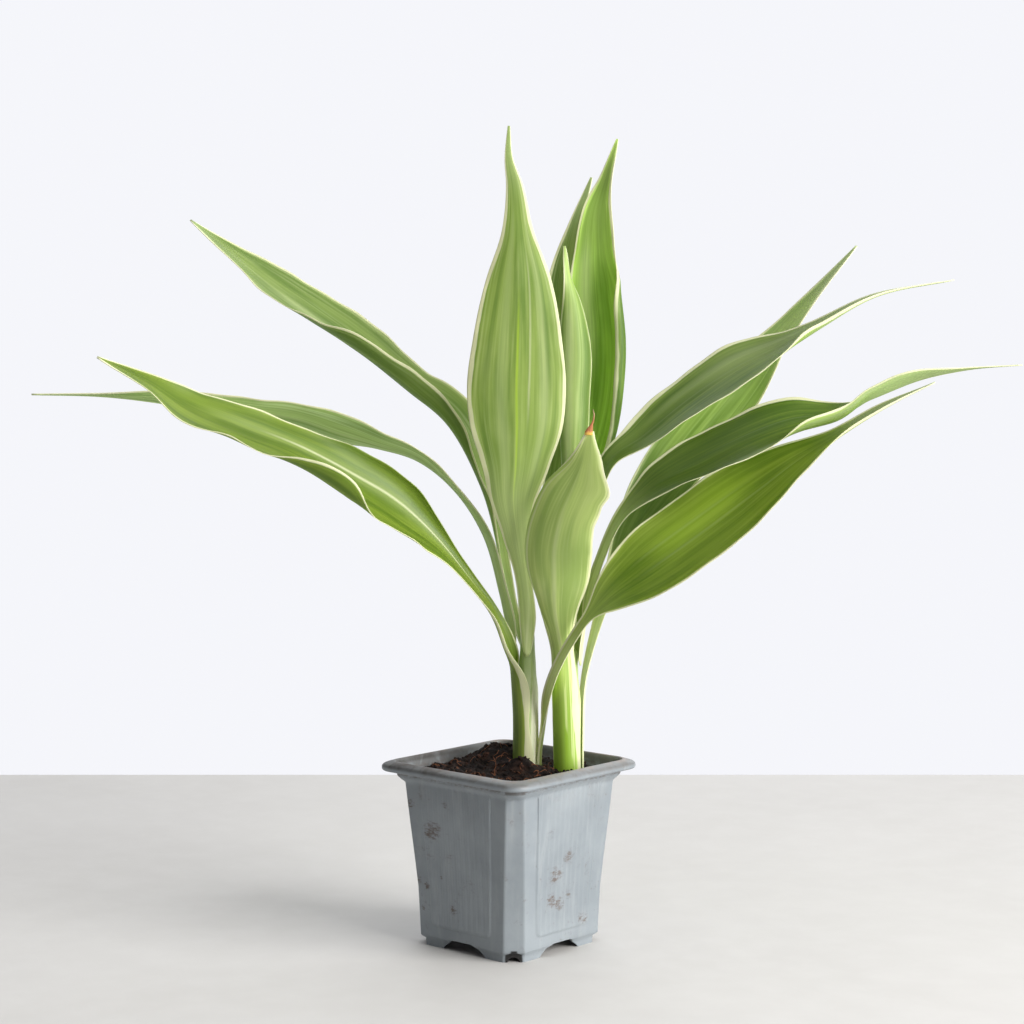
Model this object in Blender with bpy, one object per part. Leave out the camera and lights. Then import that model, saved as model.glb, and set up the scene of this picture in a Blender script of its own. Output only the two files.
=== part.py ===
"""A potted lucky bamboo: two leafy shoots in one square plastic nursery pot.

Metres, +Z up. The pot's sides run along X and Y, its feet stand on z = 0 and its axis is the Z axis.
The plant is laid out in a frame turned about Z: `across` runs along one diagonal of the pot, `toward`
along the other, to the corner that faces the viewer, and `up` is Z. Its sizes are in millimetres.
"""

import math

import bmesh
import bpy
from mathutils import Vector

MM = 0.001
GAP = 0.3  # clearance between pieces that touch, mm

# The plant's frame
TURN = math.radians(41.8)
ACROSS = Vector((math.cos(TURN), math.sin(TURN), 0))
TOWARD = Vector((math.sin(TURN), -math.cos(TURN), 0))
UP = Vector((0, 0, 1))

# Pot, mm
POT_HEIGHT = 87.0
RIM_WIDTH = 90.0
RIM_DEPTH = 4.2
RIM_CORNER = 9.0
RIM_OPENING = 79.6
COLLAR_WIDTH = 80.0
COLLAR_FOOT = 79.0
WALL = 1.4
BODY_TOP, BODY_TOP_WIDTH, BODY_TOP_CUT = 77.2, 75.2, 6.1
SKIRT_TOP, SKIRT_TOP_WIDTH, SKIRT_TOP_CUT = 28.0, 67.6, 6.9
SKIRT_FOOT, SKIRT_FOOT_WIDTH, SKIRT_FOOT_CUT = 5.0, 66.2, 7.2
FOOT_WIDTH, FOOT_CUT = 62.6, 7.2
FOOT_HEIGHT = 3.6
FLOOR_TOP = 8.0
ARCH_HEIGHT, ARCH_FOOT_WIDTH, ARCH_TOP_WIDTH = 5.4, 27.0, 12.0
NOTCH_RADIUS = 3.0  # the half round opening at the foot of each cut corner

# Soil, mm
SOIL_LEVEL = 81.6
HEAP_HEIGHT = 5.5
HEAP_SPREAD = 15.0
HEAP_PLACE = (-6.0, -24.0)  # across, toward
SOIL_BOTTOM = FLOOR_TOP + GAP
SHEATH_HOLE_FLOOR = 72.0
STEM_HOLE_FLOOR = 47.0

# Stems: (across, toward) of the axis, then (up, radius) from the root end to the top, mm
STEMS = {
    "stem_left": ((8.8, -14.0), ((47.6, 4.6), (72, 5.3), (116, 5.2), (128, 4.1), (140, 3.5), (150, 3.3))),
    "stem_right": ((28.6, -6.0), ((47.6, 4.8), (72, 5.6), (112, 5.5), (127, 4.1), (134, 3.8), (138.4, 3.6))),
}
SHEATH_RADIUS = {"stem_left": 7.0, "stem_right": 7.6}  # outside of the leaf bases that clasp the stem

# Leaves
LEAF_THICKNESS = 0.8
LEAF_STATIONS = 26
LEAF_COLUMNS = 6
CUP_STEPS = 8

# Each row is one station of a leaf, from its base to its tip: across, toward, up and half width in mm,
# then the roll and the cup in degrees. Roll turns the upper face from the leaf's own inner side
# towards the viewer. Cup is how far the margin has turned up from the midrib. `side` is 1 for a leaf
# that bends to +across and -1 for one that bends to -across.
LEAVES = {
    "leaf_left_low": dict(side=-1, rows=(
        (2.5, -12, 73, 10.3, -18, 90),
        (2.5, -12, 89, 10.3, -18, 90),
        (2.5, -12, 106, 10.3, -19, 90),
        (1.5, -12, 123, 8.6, -16, 76),
        (-1.3, -9.1, 140, 5.5, 37, 55),
        (-8, -6, 155.5, 4.6, 23, 35),
        (-19, -3, 170.5, 4.8, 22, 30),
        (-33.5, 4, 187.5, 8, 30, 30),
        (-50.5, 12, 201, 17, 29, 32),
        (-71, 21, 215.5, 19.5, 24, 34),
        (-97, 30, 232, 19, 23, 34),
        (-122.5, 38, 243, 17.5, 25, 32),
        (-144, 45, 253, 13.5, 28, 30),
        (-160.5, 50, 265, 7, 26, 25),
        (-182.5, 53, 277, 0.7, 30, 10),
    )),
    "leaf_left_mid": dict(side=-1, rows=(
        (2.6, -17.5, 136.5, 3.4, -25, 40),
        (0.8, -17.8, 146, 3.6, -45, 40),
        (-3, -19, 162.5, 4, -36, 30),
        (-12.5, -20.5, 193.5, 5, -26, 26),
        (-25, -22, 211.5, 7, -12, 20),
        (-43.5, -22, 227.5, 12, -18, 22),
        (-62.5, -22, 233.5, 15, -19, 26),
        (-81.5, -22, 238.5, 17, -27, 28),
        (-100, -21, 245, 16, -27, 28),
        (-128, -19, 250, 12, -24, 26),
        (-165, -17, 256, 7, -29, 20),
        (-195.5, -15, 258, 2.5, -20, 12),
        (-225, -13, 258.5, 0.7, -20, 5),
    )),
    "leaf_left_high": dict(side=-1, rows=(
        (7.4, -19.4, 136.5, 3.5, 70, 36),
        (2.5, -21.8, 152.5, 3.6, 33, 36),
        (-2.5, -25.5, 173, 6, 19, 40),
        (-13, -29, 215.5, 13, 21, 52),
        (-30, -31, 247, 17, 22, 56),
        (-46.5, -33, 259.5, 18.5, 15, 54),
        (-70, -36, 278.5, 19, 17, 48),
        (-93.5, -39, 295, 18, 25, 40),
        (-114.5, -41, 310, 14, 29, 32),
        (-133, -43, 325, 8, 27, 22),
        (-153.5, -45, 341.5, 0.7, 25, 5),
    )),
    "leaf_centre_tall": dict(side=1, rows=(
        (8.6, -9, 134.5, 4.6, -90, 60),
        (8.6, -9, 156.5, 5, -90, 60),
        (6, -7, 177, 6.2, -90, 45),
        (3.5, -4.5, 194, 8.4, -90, 30),
        (2, -2, 209.5, 11.5, -90, 25),
        (3, 0, 226, 16.5, -90, 22),
        (3.5, 2, 242.5, 21.8, -90, 20),
        (3.5, 4, 261, 23.4, -90, 18),
        (4, 6, 284, 21, -90, 18),
        (4.5, 8, 312, 15.3, -90, 18),
        (4, 8, 334.5, 7.4, -90, 18),
        (2.5, 7, 355.5, 3.9, -90, 15),
        (0, 6, 367.5, 2, -90, 10),
        (0, 4, 382.5, 0.6, -90, 5),
    )),
    "leaf_right_low": dict(side=1, rows=(
        (15.5, -14, 73, 5.2, 0, 45),
        (15.5, -14, 87, 5.2, 0, 45),
        (17, -12, 100, 4.8, 4, 42),
        (19.1, -3.3, 118, 4, 30, 42),
        (23.5, 4, 131.5, 4.2, 28, 40),
        (30.5, 8, 145, 4.4, 25, 35),
        (37.5, 10, 155.5, 5, 26, 30),
        (47, 11.5, 165.5, 10.5, 49, 28),
        (61.5, 13.5, 177, 17, 57, 26),
        (89, 16, 197.5, 19.8, 53, 24),
        (115, 17, 217, 17.5, 47, 22),
        (132, 18, 229.5, 11.5, 41, 20),
        (147.5, 18.5, 239, 6, 27, 20),
        (172, 19, 254, 3.2, 25, 16),
        (195, 20, 265, 0.7, 10, 5),
    )),
    "leaf_front_small": dict(side=-1, rows=(
        (26.4, 0.8, 73, 8.4, -74, 71),
        (26, 0.8, 96, 8.4, -74, 71),
        (25.4, 1, 120, 7.8, -76, 64),
        (24.5, 1.5, 139, 6.4, -80, 58),
        (21.5, 5, 157.5, 9, -68, 46),
        (21, 9, 173, 14.1, -92, 38),
        (20, 13, 188.5, 16.6, -68, 30),
        (24, 15.5, 202.5, 16.2, -75, 26),
        (29.5, 16, 215.5, 15, -69, 24),
        (33.5, 15, 226, 10, -67, 18),
        (37.5, 12, 242.5, 2.4, -77, 8),
    )),
    "leaf_centre_young": dict(side=1, rows=(
        (29, -6, 138.9, 2.6, -90, 50),
        (29.5, -6, 162, 3.2, -90, 50),
        (29.5, -6.5, 190, 4.6, -88, 55),
        (30.5, -7.5, 223, 6.8, -92, 60),
        (32, -8.5, 256, 9, -76, 62),
        (32.5, -9.5, 282, 9, -75, 62),
        (30.5, -10.5, 302, 5.6, -64, 55),
        (27.5, -11.5, 316, 2.2, -45, 35),
        (26, -12.5, 328, 0.6, -84, 5),
    )),
    "leaf_back_tall": dict(side=1, rows=(
        (26.5, -12, 140, 3.2, 110, 40),
        (27, -17, 156, 3.8, 104, 38),
        (28, -22, 179.5, 5, 97, 35),
        (31.5, -27, 208, 8, 90, 32),
        (40, -35, 236, 13.1, 85, 30),
        (44.5, -37.5, 260, 15.6, 71, 28),
        (45, -38, 286.5, 16.1, 71, 28),
        (43, -38.5, 308, 14.1, 70, 28),
        (42, -39, 327, 11, 67, 24),
        (42.5, -40, 345.5, 7.5, 75, 20),
        (47, -41, 362.5, 3.5, 55, 14),
        (52, -42, 380, 0.6, 82, 5),
    )),
    "leaf_back_hidden": dict(side=1, rows=(
        (23, -5, 138, 3.4, 188, 40),
        (20, -12, 152, 3.8, 150, 38),
        (19.5, -23, 175, 5, 110, 35),
        (23, -35, 204, 8, 92, 30),
        (29.5, -44, 235.5, 12.1, 85, 30),
        (29.5, -47.5, 264.5, 14.1, 82, 30),
        (29, -49.5, 293.5, 13.1, 80, 30),
        (29, -51, 317.5, 9, 78, 26),
        (32.5, -52.5, 339, 4, 75, 18),
        (40, -55, 362.5, 0.6, 75, 5),
    )),
    "leaf_right_high": dict(side=1, rows=(
        (32.2, -10.4, 131.5, 3.2, 54, 38),
        (33.5, -11, 151.5, 3.5, 37, 34),
        (35.5, -12, 180, 4.5, 39, 30),
        (40.5, -12.5, 208, 8, 35, 28),
        (49, -13.5, 228, 12.5, 27, 26),
        (64, -16, 237.5, 15.9, 26, 26),
        (85.5, -19.5, 254, 18.9, 29, 26),
        (111, -22.5, 271, 17.4, 30, 26),
        (129.5, -25, 280.5, 11.9, 26, 24),
        (146.5, -26.5, 290, 6.9, 21, 22),
        (172, -28.5, 304, 3.2, 19, 14),
        (212, -30, 312.5, 0.7, 0, 5),
    )),
    "leaf_right_back": dict(side=1, rows=(
        (35, -8, 73, 4.6, 17, 40),
        (35, -8, 97, 4.6, 17, 40),
        (36.5, -9, 123.5, 4.2, 14, 38),
        (42, -12, 147.5, 4, 31, 34),
        (49, -18, 168.5, 5, 48, 30),
        (60, -26, 193, 10, 58, 28),
        (74.5, -33, 215, 15, 63, 26),
        (96, -40, 242, 17, 56, 26),
        (115.5, -46, 265.5, 14.5, 54, 24),
        (131.5, -50, 285, 9.5, 38, 22),
        (148, -54, 305, 5, 31, 16),
        (169.5, -58, 329.5, 0.7, 30, 5),
    )),
    "leaf_right_mid": dict(side=1, rows=(
        (33.7, -3.8, 131, 3.2, -27, 36),
        (35, -3, 143, 3.6, -10, 36),
        (38, -2, 163, 4, 31, 34),
        (44, 0, 183, 4.2, 28, 32),
        (53, 2, 202, 6, 24, 28),
        (67, 4, 215.5, 12, 26, 26),
        (90, 6, 227.5, 17.5, 32, 26),
        (113, 7, 239, 17, 32, 26),
        (132.5, 6, 246, 14, 36, 36),
        (152.5, 4, 249, 10.5, 31, 46),
        (170, 1, 257.5, 6.5, -26, 34),
        (192, -2, 267, 4.2, -36, 22),
        (213, -4, 270.5, 1.6, -28, 8),
        (240, -5, 272.5, 0.5, 0, 5),
    )),
}

# Waves of the margins: height of the near margin's and of the far margin's, mm, then waves along the leaf
WAVES = {
    "leaf_left_low": (1.8, 0.6, 6.5),
    "leaf_left_mid": (1.0, 1.0, 4.5),
    "leaf_left_high": (1.2, 0.8, 4.5),
    "leaf_centre_tall": (0.5, 0.5, 4.0),
    "leaf_right_low": (0.7, 1.0, 4.5),
    "leaf_front_small": (0.8, 1.2, 3.0),
    "leaf_centre_young": (1.2, 0.6, 5.0),
    "leaf_back_tall": (0.6, 0.8, 4.0),
    "leaf_back_hidden": (0.6, 0.6, 4.0),
    "leaf_right_high": (0.8, 1.2, 4.5),
    "leaf_right_back": (0.8, 0.8, 4.0),
    "leaf_right_mid": (1.4, 1.0, 5.0),
}

COLOURS = {
    "pot": (0.27, 0.31, 0.345, 0.5),
    "soil": (0.028, 0.019, 0.014, 0.95),
    "stem": (0.46, 0.60, 0.22, 0.45),
    "leaf": (0.20, 0.38, 0.075, 0.4),
}


def clear_scene():
    for thing in list(bpy.data.objects):
        bpy.data.objects.remove(thing, do_unlink=True)


def material(name):
    """A plain Principled material with the piece's colour and roughness."""
    red, green, blue, roughness = COLOURS[name]
    made = bpy.data.materials.new(name + "_finish")
    made.use_nodes = True
    shader = made.node_tree.nodes["Principled BSDF"]
    shader.inputs["Base Color"].default_value = (red, green, blue, 1)
    shader.inputs["Roughness"].default_value = roughness
    shader.inputs["Metallic"].default_value = 0
    return made


def place(across, toward, up):
    """A point of the plant's frame, given in mm, in the pot's frame in metres."""
    return (ACROSS * across + TOWARD * toward + UP * up) * MM


def add_object(name, mesh, finish):
    made = bpy.data.objects.new(name, mesh)
    mesh.materials.append(finish)
    bpy.context.scene.collection.objects.link(made)
    return made


def mesh_from(name, shape):
    bmesh.ops.triangulate(shape, faces=shape.faces)
    bmesh.ops.recalc_face_normals(shape, faces=shape.faces)
    mesh = bpy.data.meshes.new(name)
    shape.to_mesh(mesh)
    shape.free()
    return mesh


def subtract(target, cutter):
    """Cuts one object from another and keeps the cutter as a hidden guide."""
    cutter.hide_render = True
    cutter.display_type = "WIRE"
    cut = target.modifiers.new(cutter.name, "BOOLEAN")
    cut.operation = "DIFFERENCE"
    cut.object = cutter


def ring(width, corner, up, rounded, corner_points=5, side_points=1):
    """One square ring about the Z axis, whose corners are arcs of this radius or flat cuts."""
    half = width / 2
    points = []
    for turn in range(4):
        quarter = math.radians(90 * turn)
        for step in range(corner_points):
            share = step / (corner_points - 1)
            if rounded:
                angle = math.radians(90 * share)
                x, y = (half - corner + corner * f(angle) for f in (math.cos, math.sin))
            else:
                x, y = half - corner * share, half - corner * (1 - share)
            points.append((x, y, quarter))
        for step in range(1, side_points):
            share = step / side_points
            points.append((half - corner - (width - 2 * corner) * share, half, quarter))
    turned = []
    for x, y, quarter in points:
        c, s = math.cos(quarter), math.sin(quarter)
        turned.append(Vector((x * c - y * s, x * s + y * c, up)) * MM)
    return turned


def loft(rings):
    """A closed skin through rings of the same number of points."""
    shape = bmesh.new()
    loops = [[shape.verts.new(point) for point in points] for points in rings]
    for lower, upper in zip(loops, loops[1:]):
        for i in range(len(lower)):
            shape.faces.new((lower[i - 1], lower[i], upper[i], upper[i - 1]))
    shape.faces.new(reversed(loops[0]))
    shape.faces.new(loops[-1])
    return shape


def pot_profile():
    """(width, corner, up, rounded) from under the floor, out and over the rim, to the floor's top."""
    rim_foot = POT_HEIGHT - RIM_DEPTH
    inside = 2 * WALL
    return [
        (FOOT_WIDTH - inside, FOOT_CUT - WALL, FLOOR_TOP - WALL, False),
        (FOOT_WIDTH - inside, FOOT_CUT - WALL, 0, False),
        (FOOT_WIDTH, FOOT_CUT, 0, False),
        (FOOT_WIDTH, FOOT_CUT, FOOT_HEIGHT, False),
        (SKIRT_FOOT_WIDTH, SKIRT_FOOT_CUT, SKIRT_FOOT, False),
        (SKIRT_TOP_WIDTH, SKIRT_TOP_CUT, SKIRT_TOP, False),
        (BODY_TOP_WIDTH, BODY_TOP_CUT, BODY_TOP, False),
        (COLLAR_WIDTH, RIM_CORNER, COLLAR_FOOT, True),
        (COLLAR_WIDTH, RIM_CORNER, rim_foot, True),
        (RIM_WIDTH - 1.4, RIM_CORNER, rim_foot, True),
        (RIM_WIDTH, RIM_CORNER, rim_foot + 1.0, True),
        (RIM_WIDTH, RIM_CORNER, POT_HEIGHT - 1.2, True),
        (RIM_WIDTH - 0.8, RIM_CORNER, POT_HEIGHT - 0.3, True),
        (RIM_WIDTH - 2.2, RIM_CORNER, POT_HEIGHT, True),
        (RIM_OPENING + 1.0, RIM_CORNER - 2, POT_HEIGHT, True),
        *inner_profile(),
    ]


def inner_profile():
    """The inside of the pot, from just under the rim down to the floor."""
    inside = 2 * WALL
    corner = RIM_CORNER - 2
    return [
        (RIM_OPENING, corner, POT_HEIGHT - 0.7, True),
        (COLLAR_WIDTH - inside, corner, COLLAR_FOOT + 0.6, True),
        (BODY_TOP_WIDTH - inside, BODY_TOP_CUT - WALL / 2, BODY_TOP + 0.2, False),
        (SKIRT_TOP_WIDTH - inside, SKIRT_TOP_CUT - WALL / 2, SKIRT_TOP, False),
        (SKIRT_FOOT_WIDTH - inside, SKIRT_FOOT_CUT - WALL / 2, FLOOR_TOP, False),
    ]


def add_arch_cutters(pot, finish):
    """Two bars with sloping sides, along X and along Y, that open an arch in the foot of each side."""
    low, high = -1.0, ARCH_HEIGHT
    slope = (ARCH_FOOT_WIDTH - ARCH_TOP_WIDTH) / 2 / ARCH_HEIGHT
    reach = RIM_WIDTH
    for name, turned in (("arch_cutter_x", 0), ("arch_cutter_y", math.pi / 2)):
        ends = []
        for x in (-reach, reach):
            outline = []
            for up, side in ((low, -1), (low, 1), (high, 1), (high, -1)):
                half = ARCH_FOOT_WIDTH / 2 - slope * max(up, 0)
                outline.append(Vector((x, side * half, up)) * MM)
            ends.append(outline)
        shape = loft(ends)
        cutter = add_object(name, mesh_from(name, shape), finish)
        cutter.rotation_euler[2] = turned
        subtract(pot, cutter)


def add_notch_cutters(pot, finish):
    """Two round bars along the diagonals that open a half round notch at the foot of each cut corner."""
    for name, angle in (("notch_cutter_a", 45), ("notch_cutter_b", 135)):
        shape = bmesh.new()
        bmesh.ops.create_cone(
            shape,
            cap_ends=True,
            segments=16,
            radius1=NOTCH_RADIUS * MM,
            radius2=NOTCH_RADIUS * MM,
            depth=2 * RIM_WIDTH * MM,
        )
        cutter = add_object(name, mesh_from(name, shape), finish)
        cutter.rotation_euler = (math.pi / 2, 0, math.radians(angle))
        cutter.location[2] = -0.7 * MM
        subtract(pot, cutter)


def build_pot():
    finish = material("pot")
    rings = [ring(*station) for station in pot_profile()]
    pot = add_object("pot", mesh_from("pot", loft(rings)), finish)
    add_arch_cutters(pot, finish)
    add_notch_cutters(pot, finish)


def soil_height(x, y):
    """The soil's surface: a level, a heap beside the left stem and small lumps, all in mm."""
    across = x * ACROSS.x + y * ACROSS.y
    toward = x * TOWARD.x + y * TOWARD.y
    away = math.hypot(across - HEAP_PLACE[0], toward - HEAP_PLACE[1]) / HEAP_SPREAD
    lumps = math.sin(0.55 * x + 1.3) * math.cos(0.48 * y) + 0.6 * math.sin(0.9 * y + 0.5 * x)
    return SOIL_LEVEL + HEAP_HEIGHT * math.exp(-away * away) + 0.45 * lumps


def soil_rings():
    sides = {"corner_points": 4, "side_points": 7}
    rings = []
    for width, corner, up, rounded in reversed(inner_profile()):
        if up < COLLAR_FOOT:
            low = max(up, SOIL_BOTTOM)
            rings.append(ring(width - 2 * GAP, corner, low, rounded, **sides))
    edge = ring(COLLAR_WIDTH - 2 * WALL - 2 * GAP, RIM_CORNER - 2, SOIL_LEVEL - 1.4, True, **sides)
    rings.append(edge)
    for share in (0.985, 0.9, 0.78, 0.64, 0.5, 0.35, 0.18):
        level = []
        for point in edge:
            x, y = point.x * share, point.y * share
            level.append(Vector((x, y, soil_height(x / MM, y / MM) * MM)))
        rings.append(level)
    return rings


def add_stem_hole(soil, name, radius, floor, finish):
    """An upright round hole about a stem's axis, from above the soil down to this floor."""
    (across, toward), _ = STEMS[name]
    depth = POT_HEIGHT + 10 - floor
    shape = bmesh.new()
    bmesh.ops.create_cone(
        shape,
        cap_ends=True,
        segments=20,
        radius1=radius * MM,
        radius2=radius * MM,
        depth=depth * MM,
    )
    title = f"{name}_hole_{floor:.0f}"
    cutter = add_object(title, mesh_from(title, shape), finish)
    cutter.location = place(across, toward, floor + depth / 2)
    subtract(soil, cutter)


def build_soil():
    finish = material("soil")
    soil = add_object("soil", mesh_from("soil", loft(soil_rings())), finish)
    for name, (_, rows) in STEMS.items():
        widest = max(radius for _, radius in rows)
        add_stem_hole(soil, name, SHEATH_RADIUS[name] + 0.6, SHEATH_HOLE_FLOOR, finish)
        add_stem_hole(soil, name, widest + 0.5, STEM_HOLE_FLOOR, finish)


def build_stems():
    """Each stem is a curve with a bevel, thinner towards its top."""
    finish = material("stem")
    for name, ((across, toward), rows) in STEMS.items():
        path = bpy.data.curves.new(name, "CURVE")
        path.dimensions = "3D"
        path.bevel_depth = MM
        path.bevel_resolution = 4
        path.use_fill_caps = True
        line = path.splines.new("POLY")
        line.points.add(len(rows) - 1)
        for point, (up, radius) in zip(line.points, rows):
            point.co = (*place(across, toward, up), 1)
            point.radius = radius
        add_object(name, path, finish)


def spread_rows(rows, count):
    """Stations at even steps along the smooth curve that passes through the rows."""
    along = [0.0]
    for one, two in zip(rows, rows[1:]):
        along.append(along[-1] + math.dist(one[:3], two[:3]))
    slopes = []
    for i, row in enumerate(rows):
        before, after = max(i - 1, 0), min(i + 1, len(rows) - 1)
        if before == i or after == i:
            span = along[after] - along[before]
            slopes.append([(b - a) / span for a, b in zip(rows[before], rows[after])])
            continue
        back, ahead = along[i] - along[i - 1], along[i + 1] - along[i]
        slopes.append(
            [
                ((c - b) / ahead * back + (b - a) / back * ahead) / (back + ahead)
                for a, b, c in zip(rows[i - 1], row, rows[i + 1])
            ]
        )
    stations = []
    piece = 0
    for step in range(count):
        reach = along[-1] * step / (count - 1)
        while piece < len(rows) - 2 and reach > along[piece + 1]:
            piece += 1
        span = along[piece + 1] - along[piece]
        s = (reach - along[piece]) / span
        start, end = 2 * s**3 - 3 * s**2 + 1, 3 * s**2 - 2 * s**3
        leave, arrive = (s**3 - 2 * s**2 + s) * span, (s**3 - s**2) * span
        stations.append(
            [
                start * a + leave * m + end * b + arrive * n
                for a, m, b, n in zip(rows[piece], slopes[piece], rows[piece + 1], slopes[piece + 1])
            ]
        )
    return stations


def leaf_frames(rows, side, count):
    """Each station's midrib point, direction to its near margin, upper face normal, width and cup."""
    stations = spread_rows(rows, count)
    middles = [place(*station[:3]) for station in stations]
    frames = []
    for i, (middle, station) in enumerate(zip(middles, stations)):
        forward = middles[min(i + 1, count - 1)] - middles[max(i - 1, 0)]
        forward.normalize()
        facing = (TOWARD - forward * TOWARD.dot(forward)).normalized()
        level = facing.cross(forward) * side
        roll = math.radians(station[4])
        upper = level * math.cos(roll) + facing * math.sin(roll)
        outward = forward.cross(upper) * side
        frames.append((middle, outward, upper, max(station[3], 0.4), math.radians(max(station[5], 0))))
    return frames


def leaf_point(frame, column, reach, wave):
    """A point of the leaf's middle surface. Column runs from -1, the far margin, to 1, the near one."""
    middle, outward, upper, half_width, cup = frame
    out = rise = 0.0
    for step in range(CUP_STEPS):
        angle = cup * abs(column) * (step + 0.5) / CUP_STEPS
        out += math.cos(angle) * half_width * abs(column) / CUP_STEPS
        rise += math.sin(angle) * half_width * abs(column) / CUP_STEPS
    near, far, number = wave
    height = near if column > 0 else far
    phase = 0.7 if column > 0 else 2.4
    blade = min(1.0, max(0.0, (half_width - 6) / 6)) * min(1.0, (1 - reach) * 6)
    rise += height * blade * abs(column) ** 3 * math.sin(2 * math.pi * number * reach + phase)
    return middle + (outward * math.copysign(out, column) + upper * rise) * MM


def build_leaf(name, leaf, finish):
    """A grid laid along the leaf's midrib, split into triangles and given its thickness."""
    shape = bmesh.new()
    bmesh.ops.create_grid(
        shape, x_segments=LEAF_COLUMNS, y_segments=LEAF_STATIONS - 1, size=1.0
    )
    frames = leaf_frames(leaf["rows"], leaf["side"], LEAF_STATIONS)
    for vertex in shape.verts:
        reach = (vertex.co.y + 1) / 2
        frame = frames[round(reach * (LEAF_STATIONS - 1))]
        vertex.co = leaf_point(frame, vertex.co.x, reach, WAVES[name])
    bmesh.ops.triangulate(shape, faces=shape.faces, quad_method="FIXED")
    mesh = bpy.data.meshes.new(name)
    shape.to_mesh(mesh)
    shape.free()
    made = add_object(name, mesh, finish)
    wall = made.modifiers.new("thickness", "SOLIDIFY")
    wall.thickness = LEAF_THICKNESS * MM
    wall.offset = 0
    mesh.shade_smooth()


def main():
    clear_scene()
    build_pot()
    build_soil()
    build_stems()
    finish = material("leaf")
    for name, leaf in LEAVES.items():
        build_leaf(name, leaf, finish)


main()
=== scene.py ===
import math
import random

import bmesh
import bpy
from mathutils import Matrix, Vector, noise


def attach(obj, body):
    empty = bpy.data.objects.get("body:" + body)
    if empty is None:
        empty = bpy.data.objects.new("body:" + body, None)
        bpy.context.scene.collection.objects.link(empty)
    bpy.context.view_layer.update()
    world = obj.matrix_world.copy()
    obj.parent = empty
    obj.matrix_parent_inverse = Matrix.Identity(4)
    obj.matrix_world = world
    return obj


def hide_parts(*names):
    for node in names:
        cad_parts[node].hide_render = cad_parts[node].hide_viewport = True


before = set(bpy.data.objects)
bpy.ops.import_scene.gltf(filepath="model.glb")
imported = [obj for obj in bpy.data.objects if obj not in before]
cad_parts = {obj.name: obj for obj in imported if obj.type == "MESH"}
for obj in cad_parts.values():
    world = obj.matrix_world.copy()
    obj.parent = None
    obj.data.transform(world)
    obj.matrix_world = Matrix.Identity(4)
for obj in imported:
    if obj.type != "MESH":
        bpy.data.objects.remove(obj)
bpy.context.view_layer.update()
print("frame loaded,", len(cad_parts), "nodes")

mm = 0.001

# The plant is laid out across, toward the viewer and up, in mm, in a frame turned about Z
plantTurn = math.radians(41.8)
acrossWay = Vector((math.cos(plantTurn), math.sin(plantTurn), 0))
towardWay = Vector((math.sin(plantTurn), -math.cos(plantTurn), 0))
upWay = Vector((0, 0, 1))


def plantPoint(across, toward, up):
    return (acrossWay * across + towardWay * toward + upWay * up) * mm


# Shader helpers

class Wire:
    # One output socket that can be used in sums
    def __init__(self, finish, socket):
        self.finish = finish
        self.socket = socket

    def __add__(self, other):
        return self.finish.maths("ADD", self, other)

    def __sub__(self, other):
        return self.finish.maths("SUBTRACT", self, other)

    def __rsub__(self, other):
        return self.finish.maths("SUBTRACT", other, self)

    def __mul__(self, other):
        return self.finish.maths("MULTIPLY", self, other)

    def __abs__(self):
        return self.finish.maths("ABSOLUTE", self)

    __radd__ = __add__
    __rmul__ = __mul__

    def least(self, other):
        return self.finish.maths("MINIMUM", self, other)

    def most(self, other):
        return self.finish.maths("MAXIMUM", self, other)

    def rise(self, low, high):
        # 0 below low, 1 above high, smooth between
        numbers = {"Value": self, "From Min": low, "From Max": high}
        return self.finish.node("MapRange", {"interpolation_type": "SMOOTHSTEP"}, numbers)

    def bump(self, middle, half):
        # 1 at the middle, falling to 0 this far to each side
        return 1 - abs(self - middle).rise(0.0, half)


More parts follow.
